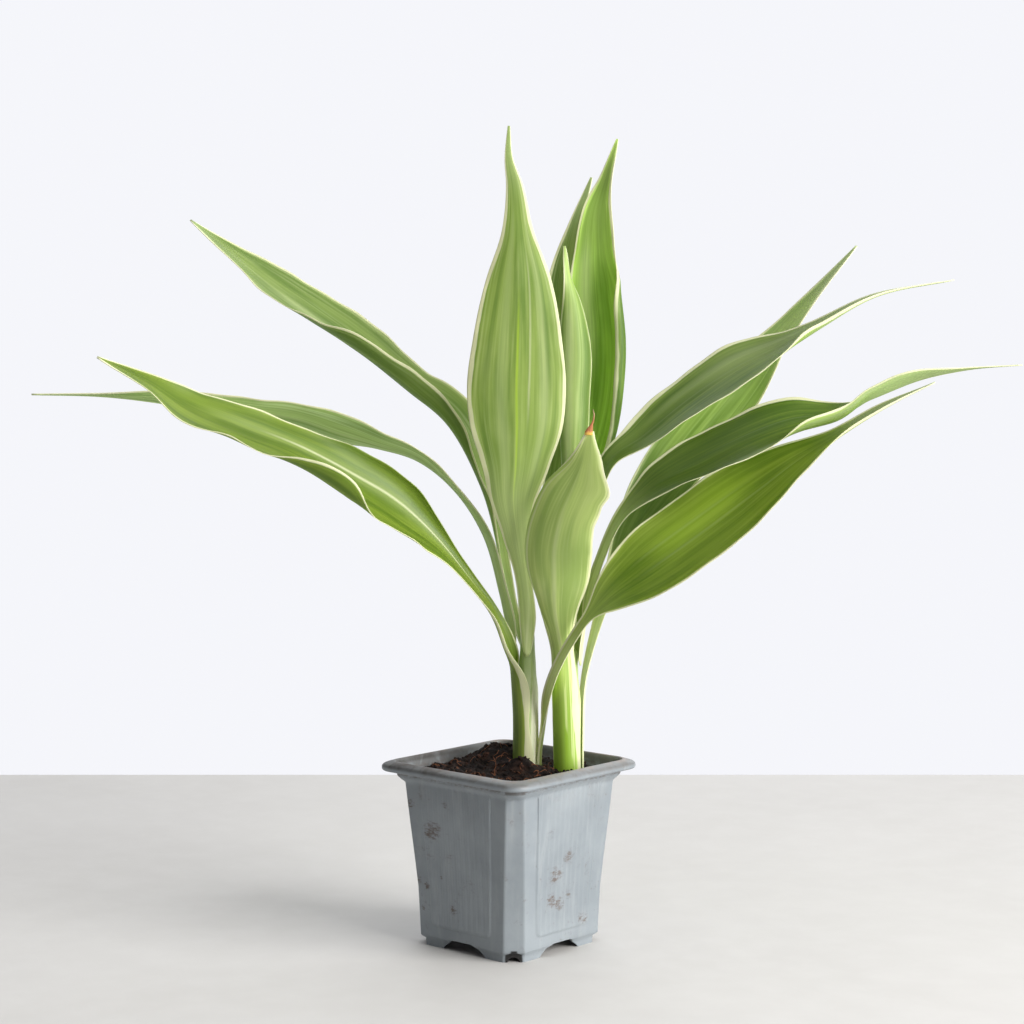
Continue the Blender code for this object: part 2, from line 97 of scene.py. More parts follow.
class Finish:
    # A material or a world whose nodes are added by expressions
    def __init__(self, name, owners=bpy.data.materials):
        self.made = owners.new(name)
        self.made.use_nodes = True
        self.tree = self.made.node_tree
        self.tree.nodes.clear()

    def node(self, kind, settings=None, inputs=None, output=0):
        made = self.tree.nodes.new("ShaderNode" + kind)
        for key, value in (settings or {}).items():
            setattr(made, key, value)
        for key, value in (inputs or {}).items():
            if isinstance(value, Wire):
                self.tree.links.new(value.socket, made.inputs[key])
            else:
                made.inputs[key].default_value = value
        return Wire(self, made.outputs[output]) if made.outputs else None

    def maths(self, operation, one, two=0.0):
        return self.node("Math", {"operation": operation}, {0: one, 1: two})

    def mix(self, share, one, two, blend="MIX"):
        settings = {"data_type": "RGBA", "blend_type": blend}
        return self.node("Mix", settings, {0: share, 6: colour(one), 7: colour(two)}, 2)

    def coats(self, tone, *layers):
        # Lays colours over a tone one after another, each by its share
        for share, layer in layers:
            tone = self.mix(share, tone, layer)
        return tone

    def parts(self, vector):
        made = self.node("SeparateXYZ", inputs={"Vector": vector})
        return [Wire(self, socket) for socket in made.socket.node.outputs]

    def grain(self, spot, scale=1.0, detail=2.0, roughness=0.5, distortion=0.0):
        # Noise from 0 to 1. The spot is a vector or its three parts
        if isinstance(spot, tuple):
            spot = self.node("CombineXYZ", inputs=dict(zip("XYZ", spot)))
        numbers = {"Scale": scale, "Detail": detail, "Roughness": roughness, "Distortion": distortion}
        return self.node("TexNoise", inputs={"Vector": spot, **numbers})

    def place(self):
        # Where a point is, in mm
        made = self.node("TexCoord", output=3)
        return self.node("VectorMath", {"operation": "SCALE"}, {0: made, "Scale": 1 / mm})

    def relief(self, height, distance, strength=1.0):
        return self.node("Bump", inputs={"Height": height, "Distance": distance, "Strength": strength})

    def skin(self, **numbers):
        # A Principled shader, its sockets called by short names
        sockets = {skinSockets[key]: colour(value) for key, value in numbers.items()}
        return self.node("BsdfPrincipled", inputs=sockets)

    def finishWith(self, shader):
        self.node("OutputMaterial", inputs={"Surface": shader})
        return self.made


skinSockets = {"base": "Base Color", "rough": "Roughness", "normal": "Normal", "specular": "Specular IOR Level"}


def colour(value):
    # A colour given as three numbers gets its fourth
    return (*value, 1.0) if isinstance(value, tuple) and len(value) == 3 else value


# Mesh helpers

def addObject(name, data):
    made = bpy.data.objects.new(name, data)
    bpy.context.scene.collection.objects.link(made)
    return made


def newPiece(name, shape, finishes, smooth=True, closed=True):
    if closed:
        bmesh.ops.recalc_face_normals(shape, faces=shape.faces)
    mesh = bpy.data.meshes.new(name)
    shape.to_mesh(mesh)
    shape.free()
    for finish in finishes:
        mesh.materials.append(finish)
    if smooth:
        mesh.shade_smooth()
    return addObject(name, mesh)


def only(kind, made):
    # The vertices or the edges among what an operator made
    return [item for item in made if isinstance(item, kind)]


def standFor(piece, node):
    # The piece takes the place of a solid
    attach(piece, "root")
    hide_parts(node)


def goWith(piece):
    # The piece is an addition
    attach(piece, "root")


def cutAway(piece, cutters):
    # Takes the cutters out of the piece and removes them
    for cutter in cutters:
        cut = piece.modifiers.new(cutter.name, "BOOLEAN")
        cut.operation = "DIFFERENCE"
        cut.object = cutter
    bpy.context.view_layer.update()
    graph = bpy.context.evaluated_depsgraph_get()
    mesh = bpy.data.meshes.new_from_object(piece.evaluated_get(graph))
    piece.modifiers.clear()
    piece.data = mesh
    for cutter in cutters:
        bpy.data.objects.remove(cutter, do_unlink=True)


def newCutter(name, radius, depth, place, segments):
    # A round bar
    bar = bmesh.new()
    ends = {"radius1": radius * mm, "radius2": radius * mm, "cap_ends": True}
    bmesh.ops.create_cone(bar, segments=segments, depth=depth * mm, matrix=place, **ends)
    return newPiece(name, bar, [], smooth=False)


def soft(value, low, high):
    # 0 below low, 1 above high, smooth between
    share = min(1.0, max(0.0, (value - low) / (high - low)))
    return share * share * (3 - 2 * share)


def readOff(stops, at):
    # A value that passes smoothly through (place, value) stops
    if at <= stops[0][0]:
        return stops[0][1]
    for (start, one), (end, two) in zip(stops, stops[1:]):
        if at <= end:
            return one + (two - one) * soft(at, start, end)
    return stops[-1][1]


def steps(value, stops):
    # The same in a shader, where neighbours that are equal need no node
    total = stops[0][1]
    for (start, one), (end, two) in zip(stops, stops[1:]):
        if one != two:
            total = total + value.rise(start, end) * (two - one)
    return total


# Leaves

# Each row is one station of a leaf, from its base to its tip: across, toward, up and half width in mm,
# then roll and cup in degrees. Roll turns the upper face towards the viewer. Cup is how far the margin
# has turned up from the midrib. Waves: the near margin's height, the far one's, and their number. Point:
# how far along the leaf a pointed base is full. Lists of pairs hold a place along the leaf and a value
# there: Curl is how many degrees a margin rolls in, Width makes half of the blade wider or narrower,
# Cream is the width in mm of a pale margin, and shade below 1 darkens as painted shade. Lift is how light
# the greens are, set for each leaf and each face: partly the leaf's own tone, partly painted light. Pale
# and tail are for the base that clasps the stem and for the tip; on leaf_right_low and leaf_right_mid the
# sheath colour is lighter than the real base, as painted light on the shaded stalk. Stripes: colour, place
# at their start and at their end and half width, as shares of the half blade, then from and to along it,
# strength. Most are the leaf's own marks; some are painted sheen, painted light through the blade and
# painted shade
leaves = {
    "leaf_left_low": {
        "side": -1, "waves": (1.8, 0.6, 6.5), "rows": [
            (2.5, -12, 73, 10.3, -18, 90), (2.5, -12, 89, 10.3, -18, 90), (2.5, -12, 106, 10.3, -19, 90),
            (1.5, -12, 123, 8.6, -16, 76), (-1.3, -9.1, 140, 5.5, 37, 55), (-8, -6, 155.5, 4.6, 23, 35),
            (-19, -3, 170.5, 4.8, 22, 30), (-33.5, 4, 187.5, 8, 30, 30), (-50.5, 12, 201, 17, 29, 32),
            (-71, 21, 215.5, 19.5, 24, 34), (-97, 30, 232, 19, 23, 34), (-122.5, 38, 243, 17.5, 25, 32),
            (-144, 45, 253, 13.5, 28, 30), (-160.5, 50, 265, 7, 26, 25), (-182.5, 53, 277, 0.7, 30, 10),
        ],
        "nearCurl": [(0.16, 0), (0.24, 90), (0.31, 0), (0.53, 0), (0.6, 95), (0.68, 60), (0.74, 0)],
        "farCurl": [(0.22, 0), (0.34, 70), (0.5, 70), (0.7, 0)],
        "nearCream": [(0, 4.2), (0.14, 3.2), (0.22, 1.3), (0.32, 0.8)],
        "farCream": [(0.2, 0.8), (0.28, 0), (0.58, 0), (0.68, 0.7)], "creamMost": 0.8, "creamStreaks": 0.5,
        "lift": 0.7, "underLift": 0.8, "red": 0.95, "blue": 0.35, "streak": 0.45, "pale": 0.3, "seed": 1.3,
        "stripes": [
            # The light stripe along the upper half is a painted sheen
            ("light", -0.45, -0.45, 0.16, 0.3, 0.85, 0.3), ("cream", -0.46, -0.42, 0.03, 0.28, 0.75, 0.7),
            ("deep", -0.66, -0.62, 0.05, 0.25, 0.8, 0.4),
        ],
    },
    "leaf_left_mid": {
        "side": -1, "waves": (1, 1, 4.5), "point": 0.05, "rows": [
            (2.6, -17.5, 136.5, 3.4, -25, 40), (0.8, -17.8, 146, 3.6, -45, 40), (-3, -19, 162.5, 4, -36, 30),
            (-12.5, -20.5, 193.5, 5, -26, 26), (-25, -22, 211.5, 7, -12, 20), (-43.5, -22, 227.5, 12, -18, 22),
            (-62.5, -22, 233.5, 15, -19, 26), (-81.5, -22, 238.5, 17, -27, 28), (-100, -21, 245, 16, -27, 28),
            (-128, -19, 250, 12, -24, 26), (-165, -17, 256, 7, -29, 20), (-195.5, -15, 258, 2.5, -20, 12),
            (-225, -13, 258.5, 0.7, -20, 5),
        ],
        "nearCream": [(0, 0.7)], "farCream": [(0, 0.9)], "lift": 1.65, "blue": 1.2, "paleEnd": 0.2, "seed": 2.7,
        "stripes": [
            ("light", 0.2, 0.2, 0.05, 0.35, 0.9, 0.5), ("light", -0.4, -0.4, 0.05, 0.35, 0.9, 0.5),
        ],
    },
    "leaf_left_high": {
        "side": -1, "waves": (1.2, 0.8, 4.5), "point": 0.05, "rows": [
            (7.4, -19.4, 136.5, 3.5, 70, 36), (2.5, -21.8, 152.5, 3.6, 33, 36), (-2.5, -25.5, 173, 6, 19, 40),
            (-13, -29, 215.5, 13, 21, 52), (-30, -31, 247, 17, 22, 56), (-46.5, -33, 259.5, 18.5, 15, 54),
            (-70, -36, 278.5, 19, 17, 48), (-93.5, -39, 295, 18, 25, 40), (-114.5, -41, 310, 14, 29, 32),
            (-133, -43, 325, 8, 27, 22), (-153.5, -45, 341.5, 0.7, 25, 5),
        ],
        "nearCurl": [(0.3, 0), (0.4, 60), (0.62, 60), (0.7, 0)],
        "farCream": [(0, 0.9)], "lift": 0.98, "underLift": 0.85, "streak": 0.75, "seed": 4.1,
        "stripes": [("light", 0.1, 0.1, 0.15, 0.5, 0.85, 0.6)],
    },
    "leaf_centre_tall": {
        "waves": (0.5, 0.5, 4), "point": 0.07, "rows": [
            (8.6, -9, 134.5, 4.6, -90, 60), (8.6, -9, 156.5, 5, -90, 60), (6, -7, 177, 6.2, -90, 45),
            (3.5, -4.5, 194, 8.4, -90, 30), (2, -2, 209.5, 11.5, -90, 25), (3, 0, 226, 16.5, -90, 22),
            (3.5, 2, 242.5, 21.8, -90, 20), (3.5, 4, 261, 23.4, -90, 18), (4, 6, 284, 21, -90, 18),
            (4.5, 8, 312, 15.3, -90, 18), (4, 8, 334.5, 7.4, -90, 18), (2.5, 7, 355.5, 3.9, -90, 15),
            (0, 6, 367.5, 2, -90, 10), (0, 4, 382.5, 0.6, -90, 5),
        ],
        "width": [(0.06, 1), (0.16, 0.72), (0.23, 0.86), (0.32, 1)],
        "nearCream": [(0.2, 1.2), (0.4, 2.6), (0.85, 1.6)], "farCream": [(0.2, 1), (0.4, 1.5)], "lift": 1.12,
        "blue": 0.85, "streak": 0.75, "midrib": 0.1, "pale": 0.85, "paleEnd": 0.42,
        "sheath": (0.78, 0.88, 0.42), "tail": (0.9, 0.4), "seed": 5.9,
        "stripes": [
            ("bright", -0.02, 0, 0.022, 0.25, 0.72, 0.9), ("cream", -0.24, -0.32, 0.02, 0.42, 0.8, 0.45),
            ("light", -0.55, -0.55, 0.08, 0.3, 0.95, 0.5), ("light", 0.3, 0.3, 0.1, 0.25, 0.9, 0.4),
            ("cream", 0.6, -0.75, 0.13, -0.08, 0.22, 0.9), ("deep", 0.62, 0.5, 0.05, 0.5, 0.85, 0.4),
            ("deep", -0.7, -0.6, 0.04, 0.45, 0.95, 0.4), ("deep", -0.1, 0, 0.45, 0.6, 1.1, 0.24),
        ],
    },
    "leaf_right_low": {
        "waves": (0.7, 1, 4.5), "rows": [
            (15.5, -14, 73, 5.2, 0, 45), (15.5, -14, 87, 5.2, 0, 45), (17, -12, 100, 4.8, 4, 42),
            (19.1, -3.3, 118, 4, 30, 42), (23.5, 4, 131.5, 4.2, 28, 40), (30.5, 8, 145, 4.4, 25, 35),
            (37.5, 10, 155.5, 5, 26, 30), (47, 11.5, 165.5, 10.5, 49, 28), (61.5, 13.5, 177, 17, 57, 26),
            (89, 16, 197.5, 19.8, 53, 24), (115, 17, 217, 17.5, 47, 22), (132, 18, 229.5, 11.5, 41, 20),
            (147.5, 18.5, 239, 6, 27, 20), (172, 19, 254, 3.2, 25, 16), (195, 20, 265, 0.7, 10, 5),
        ],
        "nearCurl": [(0.78, 0), (0.86, 100), (0.97, 90), (1, 0)],
        "nearCream": [(0, 1.2), (0.3, 0.9)], "farCream": [(0, 1.5), (0.35, 1)], "lift": 0.82, "red": 0.95,
        # Its sheath colour is lighter than the real base: painted light on the shaded stalk
        "blue": 0.4, "pale": 0.95, "paleEnd": 0.42, "sheath": (0.88, 0.95, 0.42), "tail": (0.82, 0.7),
        "seed": 7.7,
        "stripes": [
            # The bright patch is painted light that comes through the blade
            ("bright", -0.15, -0.3, 0.35, 0.43, 0.7, 0.6), ("light", 0.1, 0.1, 0.03, 0.4, 0.8, 0.25),
            ("light", -0.3, -0.3, 0.03, 0.4, 0.7, 0.2),
        ],
    },
    "leaf_front_small": {
        "side": -1, "waves": (0.8, 1.2, 3), "rows": [
            (26.4, 0.8, 73, 8.4, -74, 71), (26, 0.8, 96, 8.4, -74, 71), (25.4, 1, 120, 7.8, -76, 64),
            (24.5, 1.5, 139, 6.4, -80, 58), (21.5, 5, 157.5, 9, -74, 46), (20.8, 9, 173, 14.1, -80, 38),
            (20.9, 12.7, 188.5, 16.6, -76, 32), (24, 15.3, 202.5, 16.2, -74, 28),
            (29.5, 15.8, 215.5, 15, -71, 24), (33.5, 15, 226, 10, -67, 18), (37.5, 12, 242.5, 2.4, -77, 8),
        ],
        "farCurl": [(0.42, 0), (0.52, 90), (0.8, 90), (0.95, 0)],
        "nearWidth": [(0.36, 1), (0.5, 1.3), (0.76, 1), (0.82, 1.02), (0.865, 1.28), (0.92, 1.1), (1, 0.8)],
        "farWidth": [(0.86, 1), (1, 0.7)],
        "nearCream": [(0, 1.2), (0.22, 4), (0.36, 2.6), (0.46, 0.9)], "farCream": [(0, 0.6), (0.4, 1.2)],
        "creamMost": 0.8, "creamStreaks": 0.7, "lift": 1.95, "red": 1.12, "blue": 1.15, "streak": 0.3,
        "glow": 0.22, "pale": 0.9, "paleEnd": 0.42, "sheath": (0.36, 0.62, 0.03), "seed": 9.2,
        "stripes": [
            ("green", 0.35, 0.35, 0.6, 0.55, 1.1, 0.55), ("cream", -0.66, -0.66, 0.03, 0.45, 0.98, 0.6),
            ("light", 0, 0.05, 0.05, 0.3, 0.8, 0.5),
        ],
    },
    "leaf_centre_young": {
        "waves": (1.2, 0.6, 5), "point": 0.06, "rows": [
            (29, -6, 138.9, 2.6, -90, 50), (29.5, -6, 162, 3.2, -90, 50), (29.5, -6.5, 190, 4.6, -88, 55),
            (30.5, -7.5, 223, 6.8, -92, 60), (32, -8.5, 256, 9, -76, 62), (32.5, -9.5, 282, 9, -75, 62),
            (30.5, -10.5, 302, 5.6, -64, 55), (27.5, -11.5, 316, 2.2, -45, 35), (26, -12.5, 328, 0.6, -84, 5),
        ],
        "nearCurl": [(0.3, 0), (0.5, 40), (0.8, 30), (0.9, 0)],
        "lift": 1.35, "blue": 0.95, "streak": 0.5, "seed": 10.6,
        "stripes": [
            # The light stripe on the right and the deep one on the left are painted light and painted shade
            # across the fold
            ("light", 0.45, 0.45, 0.25, 0.3, 0.9, 0.9), ("deep", -0.8, -0.8, 0.45, 0.2, 0.85, 0.8),
        ],
    },
    "leaf_back_tall": {
        "waves": (0.6, 0.8, 4), "point": 0.05, "rows": [
            (26.5, -12, 140, 3.2, 110, 40), (27, -17, 156, 3.8, 104, 38), (28, -22, 179.5, 5, 97, 35),
            (31.5, -27, 208, 8, 90, 32), (40, -35, 236, 13.1, 85, 30), (44.5, -37.5, 260, 15.6, 71, 28),
            (45, -38, 286.5, 16.1, 71, 28), (43, -38.5, 308, 14.1, 70, 28), (42, -39, 327, 11, 67, 24),
            (42.5, -40, 345.5, 7.5, 75, 20), (47, -41, 362.5, 3.5, 55, 14), (52, -42, 380, 0.6, 82, 5),
        ],
        "nearCurl": [(0.24, 0), (0.4, 190), (0.62, 190), (0.82, 0)],
        "nearCream": [(0, 1.1), (0.35, 1.4)], "lift": 2.35, "underLift": 0.6, "red": 0.88, "blue": 0.6,
        "streak": 0.7, "glow": 0.32, "seed": 12.5,
        "stripes": [
            ("cream", -0.45, -0.45, 0.22, 0.5, 0.85, 0.4), ("green", 0, 0, 1.2, 0.75, 1.1, 0.75),
        ],
    },
    "leaf_back_hidden": {
        "waves": (0.6, 0.6, 4), "point": 0.05, "rows": [
            (23, -5, 138, 3.4, 188, 40), (20, -12, 152, 3.8, 150, 38), (19.5, -23, 175, 5, 110, 35),
            (23, -35, 204, 8, 92, 30), (29.5, -44, 235.5, 12.1, 85, 30), (29.5, -47.5, 264.5, 14.1, 82, 30),
            (29, -49.5, 293.5, 13.1, 80, 30), (29, -51, 317.5, 9, 78, 26), (32.5, -52.5, 339, 4, 75, 18),
            (40, -55, 362.5, 0.6, 75, 5),
        ],
        "farCream": [(0, 1.2)], "lift": 0.9, "glow": 0.2, "tail": (0.9, 0.6), "seed": 14.3,
    },
    "leaf_right_high": {
        "waves": (0.8, 1.2, 4.5), "point": 0.06, "rows": [
            (32.2, -10.4, 131.5, 3.2, 54, 38), (33.5, -11, 151.5, 3.5, 37, 34), (35.5, -12, 180, 4.5, 39, 30),
            (40.5, -12.5, 208, 8, 35, 28), (49, -13.5, 228, 12.5, 27, 26), (64, -16, 237.5, 15.9, 26, 26),
            (85.5, -19.5, 254, 18.9, 29, 26), (111, -22.5, 271, 17.4, 30, 26),
            (129.5, -25, 280.5, 11.9, 26, 24), (146.5, -26.5, 290, 6.9, 21, 22), (172, -28.5, 304, 3.2, 19, 14),
            (212, -30, 312.5, 0.7, 0, 5),
        ],
        "nearCurl": [(0.66, 0), (0.76, 110), (0.97, 110), (1, 0)],
        "width": [(0.08, 1), (0.18, 0.6), (0.34, 0.65), (0.46, 1)],
        "nearCream": [(0, 1.1)], "farCream": [(0, 1.4), (0.45, 2.3), (0.7, 1)], "lift": 0.62, "underLift": 1.2,
        "red": 0.9, "blue": 0.5, "streak": 0.8, "glow": 0.2, "tail": (0.74, 0.85), "seed": 16.1,
        "stripes": [
            ("light", -0.15, -0.15, 0.02, 0.3, 0.8, 0.2), ("light", -0.5, -0.5, 0.1, 0.4, 0.8, 0.3),
            ("light", -0.3, -0.2, 0.5, 0.5, 1.1, 0.3),
        ],
    },
    "leaf_right_back": {
        "waves": (0.8, 0.8, 4), "rows": [
            (35, -8, 73, 4.6, 17, 40), (35, -8, 97, 4.6, 17, 40), (36.5, -9, 123.5, 4.2, 14, 38),
            (42, -12, 147.5, 4, 31, 34), (49, -18, 168.5, 5, 48, 30), (60, -26, 193, 10, 58, 28),
            (74.5, -33, 215, 15, 63, 26), (96, -40, 242, 17, 56, 26), (115.5, -46, 265.5, 14.5, 54, 24),
            (131.5, -50, 285, 9.5, 38, 22), (148, -54, 305, 5, 31, 16), (169.5, -58, 329.5, 0.7, 30, 5),
        ],
        "nearCream": [(0, 1.1)], "farCream": [(0, 1.5), (0.3, 1)], "lift": 1.75, "streak": 0.6, "glow": 0.3,
        "pale": 1, "paleEnd": 0.4, "sheath": (0.92, 0.95, 0.66), "tail": (0.9, 0.2),
        "shade": [(0.3, 1), (0.37, 0.3), (0.45, 0.3), (0.62, 1)], "seed": 18.4,
        "stripes": [("light", 0, 0, 1, 0.7, 1.15, 0.45)],
    },
    "leaf_right_mid": {
        "waves": (1.4, 1, 5), "point": 0.06, "rows": [
            (33.7, -3.8, 131, 3.2, -27, 36), (35, -3, 143, 3.6, -10, 36), (38, -2, 163, 4, 31, 34),
            (44, 0, 183, 4.2, 28, 32), (53, 2, 202, 6, 24, 28), (67, 4, 215.5, 12, 26, 26),
            (90, 6, 227.5, 17.5, 32, 26), (113, 7, 239, 17, 32, 26), (132.5, 6, 246, 14, 36, 36),
            (152.5, 4, 249, 10.5, 24, 46), (170, 1, 257.5, 6.5, -18, 34), (192, -2, 267, 4.2, -36, 22),
            (213, -4, 270.5, 1.6, -28, 8), (240, -5, 272.5, 0.5, 0, 5),
        ],
        "nearCurl": [(0.52, 0), (0.64, 100), (0.76, 85), (0.9, 0)],
        "nearCream": [(0, 1.2), (0.5, 0.7)], "farCream": [(0, 1.4), (0.62, 1.2), (0.72, 0.5)], "lift": 0.54,
        "underLift": 0.9, "red": 0.85, "blue": 0.25, "glow": 0.26, "pale": 1, "paleEnd": 0.36,
        # Its sheath colour is lighter than the real base: painted light on the shaded stalk
        "sheath": (0.92, 0.97, 0.52), "tail": (0.72, 0.8),
        "shade": [(0.24, 1), (0.34, 0.6), (0.46, 0.6), (0.6, 1)], "seed": 20.9,
        "stripes": [
            ("light", -0.2, -0.2, 0.02, 0.4, 0.9, 0.15), ("tail", 0.97, 0.78, 0.14, 0.42, 0.95, 0.9),
        ],
    },
}

# What a leaf has where its own entry doesn't say
usualLeaf = {
    "side": 1,  # -1 for a leaf that leans to the left
    "point": 0, "nearCurl": [(0, 0)], "farCurl": [(0, 0)], "width": [(0, 1)],
    "nearCream": [(0, 1)], "farCream": [(0, 1)], "creamMost": 0.24, "creamStreaks": 0.25, "red": 1, "blue": 1,
    "streak": 1, "midrib": 0.2, "glow": 0.28, "pale": 0.5, "paleEnd": 0.3, "sheath": (0.52, 0.66, 0.20),
    "tail": (), "shade": [(0, 1)], "stripes": [],
}

leafBuild = {
    "thickness": 0.6,  # mm
    "marginThickness": 0.55,  # share of the thickness left at the margin
    "stations": 110,
    "columns": 28,
    "crowding": 1.35,  # draws the columns together at the margins
    "sectionSteps": 16,
    "narrowest": 0.4,  # half width in mm
    "pointShare": 0.15,  # of the width at the very end of a pointed base
    "curlPower": 3.2,  # how much of a curl is at the margin
    "curlWidening": 1.35,  # the most that a rolled margin widens its half
    "calmWidth": 6,  # half width in mm up to which a blade has no waves
    "wavePhase": {"near": 0.7, "far": 2.4},
    "midribDepth": 0.28,  # mm
    "midribWidth": 1.6,
    "rippleHeight": 0.22,
    "ripples": 15,
    "mapWidth": 100,  # mm that stand for 1 on the map of sizes
    "mapLength": 1000,
}


def spreadRows(rows, count):
    # Even stations along the smooth curve that passes through the rows
    pairs = [*zip(rows, rows[1:])]
    spans = [math.dist(one[:3], two[:3]) for one, two in pairs]
    along = [sum(spans[:i]) for i in range(len(rows))]
    steep = [[(b - a) / span for a, b in zip(*pair)] for pair, span in zip(pairs, spans)]
    slopes = [steep[0]]
    for before, after, back, ahead in zip(steep, steep[1:], spans, spans[1:]):
        slopes.append([(b * back + a * ahead) / (back + ahead) for a, b in zip(before, after)])
    slopes.append(steep[-1])
    stations = []
    piece = 0
    for step in range(count):
        reach = along[-1] * step / (count - 1)
        while piece < len(spans) - 1 and reach > along[piece + 1]:
            piece += 1
        span = spans[piece]
        s = (reach - along[piece]) / span
        start, end = 2 * s**3 - 3 * s**2 + 1, 3 * s**2 - 2 * s**3
        leave, arrive = (s**3 - 2 * s**2 + s) * span, (s**3 - s**2) * span
        stations.append([
            start * a + leave * m + end * b + arrive * n
            for a, m, b, n in zip(rows[piece], slopes[piece], rows[piece + 1], slopes[piece + 1])
        ])
    return stations, along[-1]


def leafFrames(leaf, count):
    # Each station's midrib point, way to the near margin, way out of the upper face, half width and cup
    stations, length = spreadRows(leaf["rows"], count)
    middles = [plantPoint(*station[:3]) for station in stations]
    frames = []
    for i, station in enumerate(stations):
        forward = (middles[min(i + 1, count - 1)] - middles[max(i - 1, 0)]).normalized()
        facing = (towardWay - forward * towardWay.dot(forward)).normalized()
        level = facing.cross(forward) * leaf["side"]
        roll = math.radians(station[4])
        upper = level * math.cos(roll) + facing * math.sin(roll)
        outward = forward.cross(upper) * leaf["side"]
        halfWidth = max(station[3], leafBuild["narrowest"])
        frames.append((middles[i], outward, upper, halfWidth, math.radians(max(station[5], 0))))
    return frames, length


def section(halfWidth, cup, curl, share):
    # How far out and up the blade is at this share of its half width
    out = rise = 0.0
    steps = leafBuild["sectionSteps"]
    for step in range(steps):
        at = share * (step + 0.5) / steps
        angle = cup * at + curl * at ** leafBuild["curlPower"]
        out += math.cos(angle) * halfWidth * share / steps
        rise += math.sin(angle) * halfWidth * share / steps
    return out, rise


def leafPoint(leaf, station, column, reach):
    middle, outward, upper, halfWidth, cup = station
    if reach < leaf["point"]:
        least = leafBuild["pointShare"]
        halfWidth *= least + (1 - least) * math.sqrt(reach / leaf["point"])
    share = abs(column)
    margin = "near" if column > 0 else "far"
    halfWidth *= readOff(leaf.get(margin + "Width", leaf["width"]), reach)
    curl = math.radians(readOff(leaf[margin + "Curl"], reach))
    if curl > 0.05:
        # A rolled margin takes up width, so its half of the blade gets more
        widest = max(section(1, cup, curl, at / 12)[0] for at in range(5, 13))
        halfWidth *= min(leafBuild["curlWidening"], section(1, cup, 0, 1)[0] / widest)
    out, rise = section(halfWidth, cup, curl, share)
    near, far, number = leaf["waves"]
    height = near if column > 0 else far
    phase = leafBuild["wavePhase"][margin]
    calm = leafBuild["calmWidth"]
    blade = min(1.0, max(0.0, (halfWidth - calm) / calm)) * min(1.0, (1 - reach) * 6)
    wave = height * share**3 * math.sin(2 * math.pi * number * reach + phase)
    ripple = math.sin(math.tau * leafBuild["ripples"] * reach + phase * 3)
    wave += leafBuild["rippleHeight"] * share**6 * ripple
    rise += wave * blade
    rise -= leafBuild["midribDepth"] * blade * math.exp(-((share * halfWidth / leafBuild["midribWidth"]) ** 2))
    return middle + (outward * math.copysign(out, column) + upper * rise) * mm


def buildLeaf(name, leaf):
    # A grid laid along the midrib. It carries its own two maps, and gets its thickness from a modifier
    count, columns, crowding = leafBuild["stations"], leafBuild["columns"], leafBuild["crowding"]
    shape = bmesh.new()
    bmesh.ops.create_grid(shape, x_segments=columns, y_segments=count - 1, size=1.0)
    stations, length = leafFrames(leaf, count)
    places = {}
    for vertex in shape.verts:
        column = math.sin(vertex.co.x * crowding) / math.sin(crowding)
        reach = (vertex.co.y + 1) / 2
        places[vertex.index] = (column, reach, stations[round(reach * (count - 1))])
    blade = shape.loops.layers.uv.new("blade")
    size = shape.loops.layers.uv.new("size")
    for face in shape.faces:
        for loop in face.loops:
            column, reach, station = places[loop.vert.index]
            loop[blade].uv = ((column + 1) / 2, reach)
            loop[size].uv = (station[3] / leafBuild["mapWidth"], reach * length / leafBuild["mapLength"])
    thick = shape.verts.layers.deform.new()
    thin = leafBuild["marginThickness"]
    for vertex in shape.verts:
        column, reach, station = places[vertex.index]
        vertex[thick][0] = thin + (1 - thin) * (1 - abs(column) ** 4)
        vertex.co = leafPoint(leaf, station, column, reach)
    if leaf["side"] < 0:
        bmesh.ops.reverse_faces(shape, faces=shape.faces)
    finishes = [leafFinish(name, leaf, face) for face in ("upper", "under")]
    piece = newPiece(name.replace("leaf", "blade"), shape, finishes, closed=False)
    piece.vertex_groups.new(name="thick")
    wall = piece.modifiers.new("thickness", "SOLIDIFY")
    wall.thickness = leafBuild["thickness"] * mm
    wall.offset = 0
    wall.vertex_group = "thick"
    wall.material_offset = 1
    wall.material_offset_rim = 1
    standFor(piece, name)


leafColours = {
    "deep": (0.115, 0.20, 0.036),
    "green": (0.27, 0.37, 0.10),
    "light": (0.50, 0.585, 0.27),
    "cream": (0.82, 0.83, 0.54),
    "bright": (0.42, 0.60, 0.05),
    "tail": (0.33, 0.42, 0.18),
    "glow": (0.68, 0.84, 0.24),
    "glowCream": (0.97, 0.95, 0.72),
    "shaded": (0.03, 0.07, 0.008),
}


